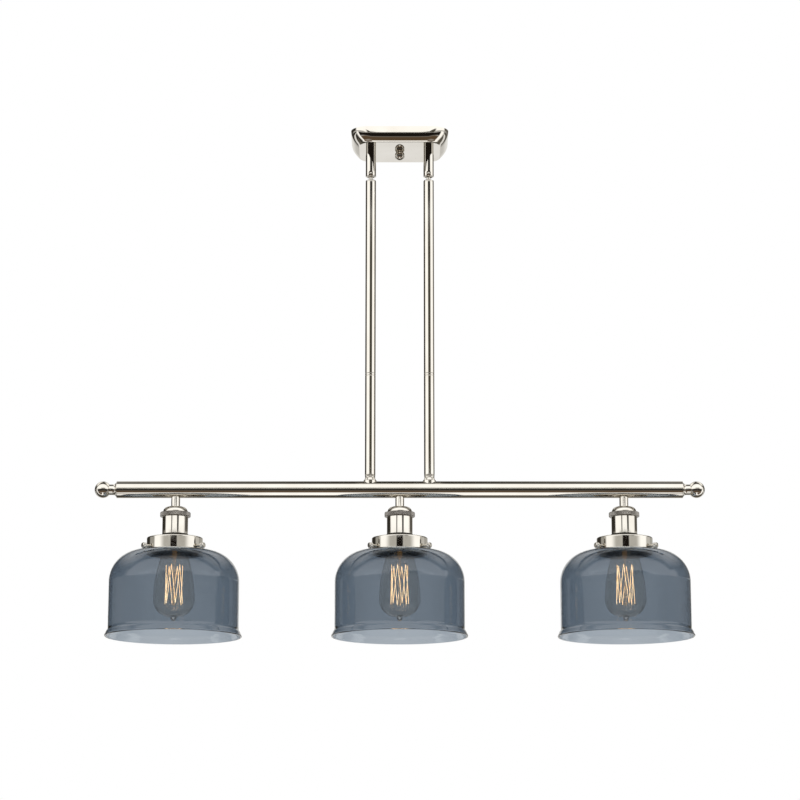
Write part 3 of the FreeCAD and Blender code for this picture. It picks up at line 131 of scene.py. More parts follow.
def arc_points(start, end, radius, turn, step):
    """Points along the shorter arc from start to end, without the start, every step degrees or less."""
    (x0, y0), (x1, y1) = start, end
    chord = math.hypot(x1 - x0, y1 - y0)
    height = math.sqrt(max(0.0, radius**2 - chord**2 / 4))
    cx = (x0 + x1) / 2 - (y1 - y0) / chord * turn * height
    cy = (y0 + y1) / 2 + (x1 - x0) / chord * turn * height
    a0 = math.atan2(y0 - cy, x0 - cx)
    a1 = math.atan2(y1 - cy, x1 - cx)
    sweep = (a1 - a0) * turn % FULL_TURN
    count = max(2, int(math.ceil(math.degrees(sweep) / step)))
    points = []
    for i in range(1, count + 1):
        a = a0 + turn * sweep * i / count
        points.append((cx + radius * math.cos(a), cy + radius * math.sin(a)))
    points[-1] = (x1, y1)
    return points


def between(start, end, share):
    """The point at a share of the way from start to end."""
    return start[0] + (end[0] - start[0]) * share, start[1] + (end[1] - start[1]) * share


def softened(points, radius):
    """The closed outline with its sharp corners rounded a little."""
    result = []
    count = len(points)
    for i, here in enumerate(points):
        before = Vector(points[i - 1]) - Vector(here)
        after = Vector(points[(i + 1) % count]) - Vector(here)
        if before.length < TINY or after.length < TINY or here[0] < TINY:
            result.append(here)
            continue
        if math.pi - before.angle(after) < CORNER_TURN:
            result.append(here)
            continue
        reach = min(radius, before.length * CORNER_SHARE, after.length * CORNER_SHARE)
        first = Vector(here) + before.normalized() * reach
        last = Vector(here) + after.normalized() * reach
        for t in CORNER_STEPS:
            p = first * (1 - t) ** 2 + Vector(here) * (2 * t * (1 - t)) + last * t**2
            result.append((p.x, p.y))
    return result


def outline(corners, soften, step=7.0):
    """A closed outline of (radius, height) points. A corner with four values ends an arc: its last two
    are the arc's radius and turn. Straight sides get a point near each end, so that smooth shading
    leaves them flat."""
    points = []
    hold = HOLD_SHARE * soften if soften else HOLD_LEAST
    for i, corner in enumerate(corners):
        start = corners[i - 1][:2]
        if len(corner) == 4:
            points += arc_points(start, corner[:2], corner[2], corner[3], step)
            continue
        length = math.hypot(corner[0] - start[0], corner[1] - start[1])
        if length > 3 * hold:
            points += [between(start, corner, share) for share in (hold / length, 1 - hold / length)]
        points.append(corner)
    distinct = []
    for p in points:
        if not distinct or math.hypot(p[0] - distinct[-1][0], p[1] - distinct[-1][1]) > SAME_POINT:
            distinct.append(p)
    return softened(distinct, soften) if soften else distinct


def add_mesh(name, vertices, faces, angle=SMOOTH_ANGLE):
    """A new piece from points in millimetres. Edges that turn by more than the angle stay sharp."""
    mesh = bpy.data.meshes.new(name)
    mesh.from_pydata([(x * MM, y * MM, z * MM) for x, y, z in vertices], [], faces)
    mesh.validate()
    mesh.shade_smooth()
    mesh.set_sharp_from_angle(angle=math.radians(angle))
    piece = bpy.data.objects.new(name, mesh)
    bpy.context.scene.collection.objects.link(piece)
    return piece


def outward(piece):
    """Turns the faces so that the closed mesh has a positive volume."""
    mesh = piece.data
    volume = 0.0
    for face in mesh.polygons:
        corner = [mesh.vertices[i].co for i in face.vertices]
        for k in range(1, len(corner) - 1):
            volume += corner[0].dot(corner[k].cross(corner[k + 1]))
    if volume < 0:
        mesh.flip_normals()
    return piece


def lathe(name, points, at, segments, shape=None, axis=None):
    """Turns an outline about Z. shape moves each point, and axis lays the result along another direction."""
    vertices = []
    rings = []
    for r, z in points:
        if r < TINY:
            rings.append([len(vertices)])
            vertices.append((0.0, 0.0, z))
            continue
        ring = []
        for k in range(segments):
            a = FULL_TURN * k / segments
            rr, zz = shape(r, a, z) if shape else (r, z)
            ring.append(len(vertices))
            vertices.append((rr * math.cos(a), rr * math.sin(a), zz))
        rings.append(ring)
    faces = []
    for i, ring in enumerate(rings):
        other = rings[(i + 1) % len(rings)]
        if len(ring) == 1 and len(other) == 1:
            continue
        for k in range(segments):
            n = (k + 1) % segments
            if len(ring) == 1:
                faces.append((ring[0], other[k], other[n]))
            elif len(other) == 1:
                faces.append((ring[k], other[0], ring[n]))
            else:
                faces.append((ring[k], other[k], other[n], ring[n]))
    turn = Vector((0, 0, 1)).rotation_difference(axis).to_matrix() if axis else Matrix.Identity(3)
    placed = [tuple(turn @ Vector(v) + Vector(at)) for v in vertices]
    return outward(add_mesh(name, placed, faces))


def wire(path, radius, sides):
    """The vertices and faces of a round wire along a list of points."""
    vertices = []
    faces = []
    points = [Vector(p) for p in path]
    side = None
    for i, p in enumerate(points):
        ahead = (points[min(i + 1, len(points) - 1)] - points[max(i - 1, 0)]).normalized()
        if side is None:
            side = ahead.orthogonal().normalized()
        side = (side - ahead * side.dot(ahead)).normalized()
        up = ahead.cross(side)
        for k in range(sides):
            a = FULL_TURN * k / sides
            vertices.append(tuple(p + side * (radius * math.cos(a)) + up * (radius * math.sin(a))))
    for i in range(len(points) - 1):
        for k in range(sides):
            n = (k + 1) % sides
            faces.append((i * sides + k, i * sides + n, (i + 1) * sides + n, (i + 1) * sides + k))
    faces.append(tuple(reversed(range(sides))))
    faces.append(tuple(range((len(points) - 1) * sides, len(points) * sides)))
    return vertices, faces


def joined(name, parts):
    """One piece from several lists of vertices and faces."""
    vertices = []
    faces = []
    for part_vertices, part_faces in parts:
        offset = len(vertices)
        vertices += part_vertices
        faces += [tuple(i + offset for i in face) for face in part_faces]
    return add_mesh(name, vertices, faces)


def merged(name, pieces):
    """One piece in place of several new ones."""
    parts = []
    for piece in pieces:
        mesh = piece.data
        vertices = [tuple(vertex.co / MM) for vertex in mesh.vertices]
        parts.append((vertices, [tuple(face.vertices) for face in mesh.polygons]))
        bpy.data.objects.remove(piece)
        bpy.data.meshes.remove(mesh)
    return joined(name, parts)


# ---------------------------------------------------------------------------------------------
# Materials
# ---------------------------------------------------------------------------------------------

# Noise values between which a material goes from one tone or gloss to the other
NOISE_LOW = 0.3
NOISE_HIGH = 0.7
SMEAR_SCALE = 2.7
SMEAR_STRETCH = (1, 1, 0.35)
BUMP_DEPTH = 0.0003
FINE_BUMP_DEPTH = 0.0002
# Strength of the painted glow of the bulb's glass mount
PAINTED_MOUNT_GLOW = 0.1
FILAMENT_GLOW = 4.2


def new_material(name):
    material = bpy.data.materials.new(name)
    material.use_nodes = True
    nodes = material.node_tree.nodes
    return material, nodes, material.node_tree.links, nodes["Principled BSDF"]


def noise_node(nodes, links, scale, detail, stretch=(1, 1, 1)):
    coordinates = nodes.new("ShaderNodeTexCoord")
    mapping = nodes.new("ShaderNodeMapping")
    mapping.inputs["Scale"].default_value = stretch
    noise = nodes.new("ShaderNodeTexNoise")
    noise.inputs["Scale"].default_value = scale
    noise.inputs["Detail"].default_value = detail
    links.new(coordinates.outputs["Object"], mapping.inputs["Vector"])
    links.new(mapping.outputs["Vector"], noise.inputs["Vector"])
    return noise.outputs["Fac"]


def color_between(nodes, links, noise, first, second, target):
    """Feeds the target a colour that the noise moves from the first to the second."""
    ramp = nodes.new("ShaderNodeValToRGB")
    for element, position, color in zip(ramp.color_ramp.elements, (NOISE_LOW, NOISE_HIGH), (first, second)):
        element.position = position
        element.color = color + (1,)
    links.new(noise, ramp.inputs["Fac"])
    links.new(ramp.outputs["Color"], target)


def value_between(nodes, links, noise, first, second, target):
    """Feeds the target a value that the noise moves from the first to the second."""
    mapped = nodes.new("ShaderNodeMapRange")
    mapped.inputs["From Min"].default_value = NOISE_LOW
    mapped.inputs["From Max"].default_value = NOISE_HIGH
    mapped.inputs["To Min"].default_value = first
    mapped.inputs["To Max"].default_value = second
    links.new(noise, mapped.inputs["Value"])
    links.new(mapped.outputs["Result"], target)


def add_bump(nodes, links, noise, strength, depth, shader):
    bump = nodes.new("ShaderNodeBump")
    bump.inputs["Strength"].default_value = strength
    bump.inputs["Distance"].default_value = depth
    links.new(noise, bump.inputs["Height"])
    links.new(bump.outputs["Normal"], shader.inputs["Normal"])


def metal(name, dark, light, rough, scale, bump, depth=BUMP_DEPTH):
    """Metal with a slight change of tone and of gloss, and a faint unevenness."""
    material, nodes, links, shader = new_material(name)
    shader.inputs["Metallic"].default_value = 1.0
    tone = noise_node(nodes, links, scale, detail=4.0)
    color_between(nodes, links, tone, dark, light, shader.inputs["Base Color"])
    smear = noise_node(nodes, links, scale * SMEAR_SCALE, detail=5.0, stretch=SMEAR_STRETCH)
    value_between(nodes, links, smear, *rough, shader.inputs["Roughness"])
    add_bump(nodes, links, tone, bump, depth, shader)
    return material


NICKEL = metal(
    "polished_nickel", (0.65, 0.615, 0.55), (0.71, 0.68, 0.62), rough=(0.03, 0.07), scale=22.0, bump=0.03
)
FITTER_NICKEL = metal(
    "drawn_nickel", (0.62, 0.59, 0.53), (0.70, 0.67, 0.61), rough=(0.012, 0.025), scale=30.0, bump=0.03
)
KNURLED = metal(
    "knurled_nickel", (0.29, 0.27, 0.245), (0.43, 0.405, 0.37), rough=(0.32, 0.45), scale=60.0, bump=0.2
)
# Near-black nickel for the barrel's lip: painted shade, standing in for the dark band of shadow round the
# barrel's foot
PAINTED_SHADE_NICKEL = metal(
    "painted_shade_nickel", (0.02, 0.018, 0.015), (0.04, 0.036, 0.03), rough=(0.2, 0.3), scale=40.0, bump=0.05
)
ZINC = metal("zinc_plate", (0.52, 0.54, 0.56), (0.68, 0.70, 0.72), rough=(0.28, 0.45), scale=45.0, bump=0.15)
GREEN = metal("green_plate", (0.03, 0.20, 0.07), (0.06, 0.30, 0.11), rough=(0.35, 0.5), scale=60.0, bump=0.15)
WIRE = metal(
    "support_wire", (0.05, 0.045, 0.04), (0.09, 0.08, 0.07), rough=(0.3, 0.45), scale=80.0, bump=0.1,
    depth=FINE_BUMP_DEPTH
)
BRASS = metal("bulb_brass", (0.60, 0.43, 0.18), (0.76, 0.58, 0.28), rough=(0.16, 0.3), scale=55.0, bump=0.1)


def holder_material():
    material, nodes, links, shader = new_material("phenolic_black")
    tone = noise_node(nodes, links, scale=90.0, detail=4.0)
    color_between(nodes, links, tone, (0.014, 0.013, 0.012), (0.03, 0.028, 0.026), shader.inputs["Base Color"])
    value_between(nodes, links, tone, 0.28, 0.42, shader.inputs["Roughness"])
    add_bump(nodes, links, tone, strength=0.2, depth=FINE_BUMP_DEPTH, shader=shader)
    return material


def glass_material(name, tints, ior, gloss, scale, depth_tint, density):
    """Clear glass with a tint at its surfaces and a second one that grows with the path inside it."""
    material, nodes, links, shader = new_material(name)
    shader.inputs["Transmission Weight"].default_value = 1.0
    shader.inputs["IOR"].default_value = ior
    shader.inputs["Roughness"].default_value = 0.0
    shader.inputs["Specular IOR Level"].default_value = gloss
    tone = noise_node(nodes, links, scale, detail=2.0)
    color_between(nodes, links, tone, *tints, shader.inputs["Base Color"])
    depth = nodes.new("ShaderNodeVolumeAbsorption")
    depth.inputs["Color"].default_value = depth_tint + (1,)
    depth.inputs["Density"].default_value = density
    links.new(depth.outputs["Volume"], nodes["Material Output"].inputs["Volume"])
    return material


def mount_material():
    """The bulb's inner glass mount, with a painted warm glow that stands for the filament's light caught in it.
    """
    material = glass_material(
        "painted_glow_mount_glass", tints=((0.93, 0.90, 0.85), (0.96, 0.93, 0.88)), ior=1.45, gloss=0.5,
        scale=30.0, depth_tint=(0.8, 0.6, 0.3), density=20.0
    )
    shader = material.node_tree.nodes["Principled BSDF"]
    # Painted glow: the glass mount gives off this warm light itself
    shader.inputs["Emission Color"].default_value = (1.0, 0.5, 0.14, 1)
    shader.inputs["Emission Strength"].default_value = PAINTED_MOUNT_GLOW
    return material


def filament_material():
    material, nodes, links, shader = new_material("glowing_filament")
    shader.inputs["Metallic"].default_value = 0.6
    shader.inputs["Roughness"].default_value = 0.4
    tone = noise_node(nodes, links, scale=140.0, detail=2.0)
    color_between(nodes, links, tone, (0.55, 0.26, 0.08), (0.8, 0.46, 0.18), shader.inputs["Base Color"])
    color_between(nodes, links, tone, (1.0, 0.55, 0.22), (1.0, 0.74, 0.45), shader.inputs["Emission Color"])
    shader.inputs["Emission Strength"].default_value = FILAMENT_GLOW
    return material


SMOKE = glass_material(
    "plated_smoke_glass", tints=((0.72, 0.744, 0.765), (0.755, 0.778, 0.798)), ior=1.5, gloss=0.35,
    scale=9.0, depth_tint=(0.12, 0.23, 0.335), density=260.0
)
CLEAR = glass_material(
    "clear_bulb_glass", tints=((0.985, 0.97, 0.945), (1.0, 0.985, 0.96)), ior=1.45, gloss=0.5,
    scale=16.0, depth_tint=(0.1, 0.1, 0.1), density=80.0
)
MOUNT = mount_material()
HOLDER = holder_material()
FILAMENT = filament_material()


def dress(piece, material, body, slot, *nodes):
    """Gives a piece its material and its body, and hides the CAD nodes that it stands for. The slot is not
    used.
    """
    piece.data.materials.clear()
    piece.data.materials.append(material)
    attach(piece, body)
    if nodes:
        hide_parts(*nodes)


def dress_nickel(piece, node):
    dress(piece, NICKEL, "pendant", "polished_nickel", node)


# ---------------------------------------------------------------------------------------------
# Canopy
# ---------------------------------------------------------------------------------------------

CORNER_SIGNS = ((1, 1), (-1, 1), (-1, -1), (1, -1))
CORNER_POINTS = 10
SIDE_SHARES = (0.2, 0.4, 0.6, 0.8)
CANOPY_SMOOTH_ANGLE = 40


def rounded_ring(half_x, half_y, corner, z):
    """Points of a rectangle with round corners, the same number at every height."""
    points = []
    for quarter, (sx, sy) in enumerate(CORNER_SIGNS):
        cx, cy = sx * (half_x - corner), sy * (half_y - corner)
        for k in range(CORNER_POINTS + 1):
            a = QUARTER_TURN * (quarter + k / CORNER_POINTS)
            points.append((cx + corner * math.cos(a), cy + corner * math.sin(a), z))
        next_x, next_y = CORNER_SIGNS[(quarter + 1) % 4]
        a = QUARTER_TURN * (quarter + 1)
        end = (
            next_x * (half_x - corner) + corner * math.cos(a),
            next_y * (half_y - corner) + corner * math.sin(a),
        )
        start = points[-1]
        points += [(*between(start, end, share), z) for share in SIDE_SHARES]
    return points


def canopy_rings():
    """Insets of the wall at its ends and at its sides, with the height, from the ceiling to the floor.
    The sides bulge a little below the ceiling, bend in at the shoulder and then curve in ever faster."""
    bulge, shoulder, end_curve = 0.5, 9.6, 10.0
    edge_drop, end_reach, side_reach, edge_bend = 2.7, 2.0, 1.2, 1.6
    steps = 5
    stop = CANOPY_HEIGHT - edge_drop
    # Depths below the ceiling, with the side's slope there in degrees
    side_slopes = ((shoulder, -1.5), (shoulder + 0.9, 8.0), (16.0, 19.0), (stop, 33.0))
    rings = []
    for k in range(steps):
        share = k / (steps - 1)
        depth = shoulder * k / (steps - 1)
        rings.append((end_curve * (depth / stop) ** 2, bulge * (1 - share) ** 2, -depth))
    side = 0.0
    for (top, top_slope), (foot, foot_slope) in zip(side_slopes, side_slopes[1:]):
        for k in range(steps):
            slope = top_slope + (foot_slope - top_slope) * (k + 0.5) / steps
            depth = top + (foot - top) * (k + 1) / steps
            side += (foot - top) / steps * math.tan(math.radians(slope))
            rings.append((end_curve * (depth / stop) ** 2, side, -depth))
    for a in (12, 24, 36, 48, 60, 75, 90):
        t = math.sin(math.radians(a))
        c = 1 - math.cos(math.radians(a))
        end = end_curve + end_reach * t + edge_bend * c
        rings.append((end, side + side_reach * t + edge_bend * c, -stop - edge_drop * t))
    return rings


def make_canopy():
    wall, open_edge = 1.2, -2
    rings = canopy_rings()
    vertices = []
    faces = []
    loops = []

    def add_loop(end, side, z, inset):
        corner = CANOPY_CORNER - side - inset
        loop = rounded_ring(CANOPY_HALF_LENGTH - end - inset, CANOPY_HALF_DEPTH - side - inset, corner, z)
        loops.append(list(range(len(vertices), len(vertices) + len(loop))))
        vertices.extend(loop)

    for end, side, z in rings:
        add_loop(end, side, z, 0.0)
    outer_last = len(loops) - 1
    for end, side, z in reversed(rings):
        add_loop(end, side, min(0.0, z + wall) if z < open_edge else z, wall)
    for i, loop in enumerate(loops):
        if i == outer_last:
            continue
        other = loops[(i + 1) % len(loops)]
        count = len(loop)
        for k in range(count):
            n = (k + 1) % count
            faces.append((loop[k], other[k], other[n], loop[n]))
    faces.append(tuple(loops[outer_last]))
    faces.append(tuple(reversed(loops[outer_last + 1])))
    canopy = outward(add_mesh("canopy_skin", vertices, faces, CANOPY_SMOOTH_ANGLE))
    dress(canopy, NICKEL, "ceiling_mount", "polished_nickel", "canopy_shell")


def make_ball_nut():
    ball_r, seat_r = 7.6, 5.4
    drop = math.sqrt(ball_r**2 - seat_r**2)
    points = outline([
        (0.0, 0.0), (seat_r, 0.0), (ball_r, -drop, ball_r, RIGHT_TURN),
        (0.0, -drop - ball_r, ball_r, RIGHT_TURN),
    ], soften=0.15, step=5)
    nut = lathe("ball_nut_skin", points, (0, 0, -CANOPY_HEIGHT), segments=64)
    dress(nut, NICKEL, "canopy_nut", "polished_nickel", "canopy_ball_nut")


# ---------------------------------------------------------------------------------------------
# Stems
# ---------------------------------------------------------------------------------------------


def make_ball(x):
    """Ball, neck, shoulder and spigot on top of an upper stem."""
    ball_r, neck_r, wire_r, bend = 6.0, 2.9, 1.6, 1.5
    shoulder_top = -10.4
    shoulder_foot = shoulder_top - SHOULDER_HEIGHT
    spigot_foot = shoulder_foot - SPIGOT_LENGTH
    points = outline([
        (wire_r, math.sqrt(ball_r**2 - wire_r**2)),
        (neck_r, -math.sqrt(ball_r**2 - neck_r**2), ball_r, RIGHT_TURN), (neck_r, shoulder_top),
        (STEM_R - bend, shoulder_top), (STEM_R, shoulder_top - bend, bend, RIGHT_TURN),
        (STEM_R, shoulder_foot), (SPIGOT_R, shoulder_foot), (SPIGOT_R, spigot_foot), (wire_r, spigot_foot),
    ], soften=0.2, step=8)
    return lathe("ball", points, (x, 0, BALL_Z), segments=64)


def make_coupler(x):
    """Ring between two stems, with a spigot up and one down."""
    bore_r, bevel = 4.0, 0.4
    points = outline([
        (bore_r, SPIGOT_LENGTH), (SPIGOT_R, SPIGOT_LENGTH), (SPIGOT_R, 0.0), (STEM_R - bevel, 0.0),
        (STEM_R, -bevel), (STEM_R, bevel - COUPLER_HEIGHT), (STEM_R - bevel, -COUPLER_HEIGHT),
        (SPIGOT_R, -COUPLER_HEIGHT), (SPIGOT_R, -COUPLER_HEIGHT - SPIGOT_LENGTH),
        (bore_r, -COUPLER_HEIGHT - SPIGOT_LENGTH),
    ], soften=0.1)
    return lathe("coupler", points, (x, 0, UPPER_STEM_FOOT), segments=64)


def above_bar(r, a, z):
    """Keeps the points of a hub on top of the bar."""
    clearance = 0.05
    limit = math.sqrt(max(0.0, (BAR_R + clearance) ** 2 - (r * math.sin(a)) ** 2))
    return r, max(z, limit)


def make_hub(x):
    """Turned bell between a lower stem and the bar, with a fine groove below its top edge."""
    bore_r, bell_r, foot_r = 2.75, 9.2, 9.9
    edge, groove_r, waist, bell_curve = 0.5, 0.5, 0.7, 3.9
    foot_z, collar_rise, bell_rise = 7.0, 0.9, 1.4
    rim_foot, waist_top = 3.7, 4.2
    top = BAR_R + HUB_HEIGHT
    points = outline([
        (bore_r, top + SPIGOT_LENGTH), (bore_r, foot_z), (foot_r, foot_z), (foot_r, BAR_R + collar_rise),
        (bell_r, BAR_R + bell_rise, bell_curve, RIGHT_TURN), (STEM_R - waist, top - waist_top),
        (STEM_R, top - rim_foot), (STEM_R, top - edge, groove_r, RIGHT_TURN), (STEM_R - edge, top),
        (SPIGOT_R, top), (SPIGOT_R, top + SPIGOT_LENGTH),
    ], soften=0.12, step=8)
    return lathe("hub", points, (x, 0, BAR_Z), 72, above_bar)


def make_stem_set():
    balls = []
    couplers = []
    hubs = []
    for side, sign in END_SIDES:
        x = sign * STEM_X
        balls.append(make_ball(x))
        for name, top, foot in (
            ("upper_stem_", STEM_TOP - SHOULDER_HEIGHT, UPPER_STEM_FOOT),
            ("lower_stem_", LOWER_STEM_TOP, LOWER_STEM_FOOT),
        ):
            points = outline([(STEM_BORE_R, top), (STEM_R, top), (STEM_R, foot), (STEM_BORE_R, foot)], 0.25)
            dress_nickel(lathe(name + side + "_skin", points, (x, 0, 0), segments=64), name + side)
        couplers.append(make_coupler(x))
        hubs.append(make_hub(x))
    dress_nickel(merged("swivel_ball_skins", balls), "swivel_balls")
    dress_nickel(merged("stem_coupler_skins", couplers), "stem_couplers")
    dress_nickel(merged("bar_hub_skins", hubs), "bar_hubs")


# ---------------------------------------------------------------------------------------------
# Bar
# ---------------------------------------------------------------------------------------------


def make_bar():
    points = outline([
        (BAR_BORE_R, -BAR_HALF), (BAR_R, -BAR_HALF), (BAR_R, BAR_HALF), (BAR_BORE_R, BAR_HALF),
    ], soften=0.15)
    bar = lathe("bar_skin", points, (0, 0, BAR_Z), 96, axis=Vector((1, 0, 0)))
    dress_nickel(bar, "bar_tube")
    ball, centre, neck, cove, collar, edge = 12.5, 21.8, 8.0, 6.0, 1.0, 0.3
    plug_r, plug_depth = 11.15, 14.0
    cove_rise = cove - math.sqrt(cove**2 - (neck + cove - BAR_R + edge) ** 2)
    for side, sign in END_SIDES:
        points = outline([
            (0.0, centre + ball), (ball, centre, ball, RIGHT_TURN),
            (neck, centre - math.sqrt(ball**2 - neck**2), ball, RIGHT_TURN), (neck, collar + cove),
            (BAR_R - edge, collar + cove_rise, cove, LEFT_TURN), (BAR_R, collar - edge), (BAR_R, 0.0),
            (plug_r, 0.0), (plug_r, -plug_depth), (0.0, -plug_depth),
        ], soften=0.15, step=5)
        at = (sign * BAR_HALF, 0, BAR_Z)
        finial = lathe("finial_%s_skin" % side, points, at, 80, axis=Vector((sign, 0, 0)))
        dress_nickel(finial, "finial_" + side)


# ---------------------------------------------------------------------------------------------
# Lamps
# ---------------------------------------------------------------------------------------------


def knurl(count, depth, low, high, least):
    """Cuts fine ridges into the outer wall between two heights, where the radius is at least so much."""
    def shape(r, a, z):
        if r < least or z < low or z > high:
            return r, z
        return r - depth * (0.5 - 0.5 * math.cos(count * a)), z
    return shape


def make_cap(side, at):
    bore_r, inner_r, wall, inner_bend = 4.95, 17.3, 1.2, 6.6
    points = outline([
        (bore_r, CAP_TOP), (CAP_R - CAP_HEIGHT, CAP_TOP), (CAP_R, CAP_FOOT, CAP_HEIGHT, RIGHT_TURN),
        (CAP_R, FLANGE_TOP), (BARREL_R, FLANGE_TOP), (BARREL_R, FLANGE_FOOT), (inner_r, FLANGE_FOOT),
        (inner_r, CAP_FOOT), (CAP_R - CAP_HEIGHT, CAP_TOP - wall, inner_bend, LEFT_TURN),
        (bore_r, CAP_TOP - wall),
    ], soften=0.15, step=6)
    dress_nickel(lathe("socket_cap_%s_skin" % side, points, at, segments=96), "socket_cap_" + side)


def make_ring(side, at):
    ridges, ridge_depth, segments_per_ridge = 104, 0.45, 6
    bend, bore_r, inner_r, lid = 1.0, 18.6, 19.3, 1.2
    margin, ridge_foot = 0.9, 0.4
    points = outline([
        (bore_r, RING_TOP), (RING_R - bend, RING_TOP), (RING_R, RING_TOP - bend, bend, RIGHT_TURN),
        (RING_R, RING_FOOT + bend), (RING_R - bend, RING_FOOT, bend, RIGHT_TURN), (inner_r, RING_FOOT),
        (inner_r, RING_TOP - lid), (bore_r, RING_TOP - lid),
    ], soften=0.15, step=10)
    ripple = knurl(ridges, ridge_depth, RING_FOOT + margin, RING_TOP - margin, RING_R - ridge_foot)
    ring = lathe("knurled_ring_%s_skin" % side, points, at, ridges * segments_per_ridge, ripple)
    dress(ring, KNURLED, "ring_" + side, "knurled_nickel", "knurled_ring_" + side)


def make_barrel(side, at):
    """Socket barrel, with a painted shade band round its foot as a piece of its own: near-black nickel on the
    lip that stands for the shadow there.
    """
    inner_r, overlap, flare, flare_drop = 18.0, 0.4, 0.7, 0.3
    points = outline([
        (inner_r, FLANGE_FOOT), (BARREL_R, FLANGE_FOOT), (BARREL_R, FITTER_TOP), (inner_r, FITTER_TOP),
    ], soften=0.1)
    barrel = lathe("socket_barrel_%s_skin" % side, points, at, segments=96)
    dress(barrel, FITTER_NICKEL, "pendant", "polished_nickel", "socket_barrel_" + side)
    # The lip under the barrel, in near-black nickel: a painted shade band
    points = outline([
        (BARREL_R - overlap, BARREL_FOOT), (BARREL_R + overlap, BARREL_FOOT),
        (BARREL_R + flare, BARREL_FOOT - flare_drop), (BARREL_R + flare, FITTER_TOP),
        (BARREL_R - overlap, FITTER_TOP),
    ], soften=0.1)
    dress(lathe("socket_lip_painted_shade_" + side, points, at, segments=96), PAINTED_SHADE_NICKEL, "pendant", "polished_nickel")


def make_fitter(side, at):
    bore_r, bend, inner_bend, wall = 17.2, 1.6, 0.5, 1.1
    points = outline([
        (bore_r, FITTER_TOP), (FITTER_R - bend, FITTER_TOP), (FITTER_R, FITTER_TOP - bend, bend, RIGHT_TURN),
        (FITTER_R, FITTER_FOOT), (FITTER_R - wall, FITTER_FOOT), (FITTER_R - wall, FITTER_TOP - bend),
        (FITTER_R - bend, FITTER_TOP - wall, inner_bend, LEFT_TURN), (bore_r, FITTER_TOP - wall),
    ], soften=0.2, step=8)
    fitter = lathe("shade_fitter_%s_skin" % side, points, at, segments=128)
    dress(fitter, FITTER_NICKEL, "pendant", "polished_nickel", "shade_fitter_" + side)


def make_screw(side, screw_side, angle, x):
    """Thumb screw that points away from the fitter's axis at an angle in degrees."""
    tip_r, shank_r, head_r, bevel, crown = 1.4, 2.0, 4.15, 0.6, 1.2
    ridges, ridge_depth, segments_per_ridge, ridge_foot = 26, 0.28, 5, 0.15
    neck_length, head_length, low_margin, high_margin = 5.1, 6.3, 0.9, 1.1
    tip, foot = 38.5, FITTER_R + neck_length
    top = foot + head_length
    points = outline([
        (0.0, tip), (tip_r, tip), (shank_r, tip + bevel), (shank_r, foot), (head_r - bevel, foot),
        (head_r, foot + bevel), (head_r, top - crown), (head_r - crown, top, crown, LEFT_TURN), (0.0, top),
    ], soften=0.12, step=12)
    direction = Vector((math.cos(math.radians(angle)), math.sin(math.radians(angle)), 0))
    ripple = knurl(ridges, ridge_depth, foot + low_margin, top - high_margin, head_r - ridge_foot)
    screw_name = "%s_%s" % (side, screw_side)
    screw = lathe(
        "thumb_screw_" + screw_name + "_skin", points, (x, 0, SCREW_Z), ridges * segments_per_ridge,
        ripple, direction
    )
    dress(screw, NICKEL, "thumb_" + screw_name, "polished_nickel", "thumb_screw_" + screw_name)


def make_glass(side, at):
    """Bell shade: a neck with a lip, a round shoulder, a straight wall and a flared rim."""
    wall, neck, lip, root, outer, bend, rim = 3.0, 38.2, 39.8, 1.8, 96.7, 46.2, 101.6
    waist_height, flare_share, waist_bend, inner_waist_bend = 13.3, 0.42, 9.0, 12.0
    neck_height, lip_height, inner_ease = 13.4, 3.4, 0.4
    rim_bend, rim_wall = 1.45, 2.9
    lip_top = GLASS_TOP + neck_height
    lip_foot = lip_top - lip_height
    shoulder = GLASS_TOP - bend
    waist = GLASS_FOOT + waist_height
    waist_end = waist - flare_share * waist_height
    flare = outer + flare_share * (rim - outer)
    points = outline([
        (neck - wall, lip_top), (lip, lip_top), (lip, lip_foot), (neck, lip_foot - (lip - neck)),
        (neck, GLASS_TOP + root), (neck + root, GLASS_TOP, root, LEFT_TURN), (outer - bend, GLASS_TOP),
        (outer, shoulder, bend, RIGHT_TURN), (outer, waist), (flare, waist_end, waist_bend, LEFT_TURN),
        (rim, GLASS_FOOT + rim_bend), (rim - rim_bend, GLASS_FOOT, rim_bend, RIGHT_TURN),
        (rim - rim_wall, GLASS_FOOT + rim_bend, rim_bend, RIGHT_TURN),
        (flare - rim_wall, waist_end - inner_ease),
        (outer - wall, waist, inner_waist_bend, RIGHT_TURN), (outer - wall, shoulder),
        (outer - bend, GLASS_TOP - wall, bend - wall, LEFT_TURN), (neck + root, GLASS_TOP - wall),
        (neck - wall, GLASS_TOP + root, root + wall, RIGHT_TURN),
    ], soften=0.3, step=4)
    shade = lathe("glass_shade_%s_skin" % side, points, at, segments=192)
    dress(shade, SMOKE, "pendant", "smoke_glass", "glass_shade_" + side)


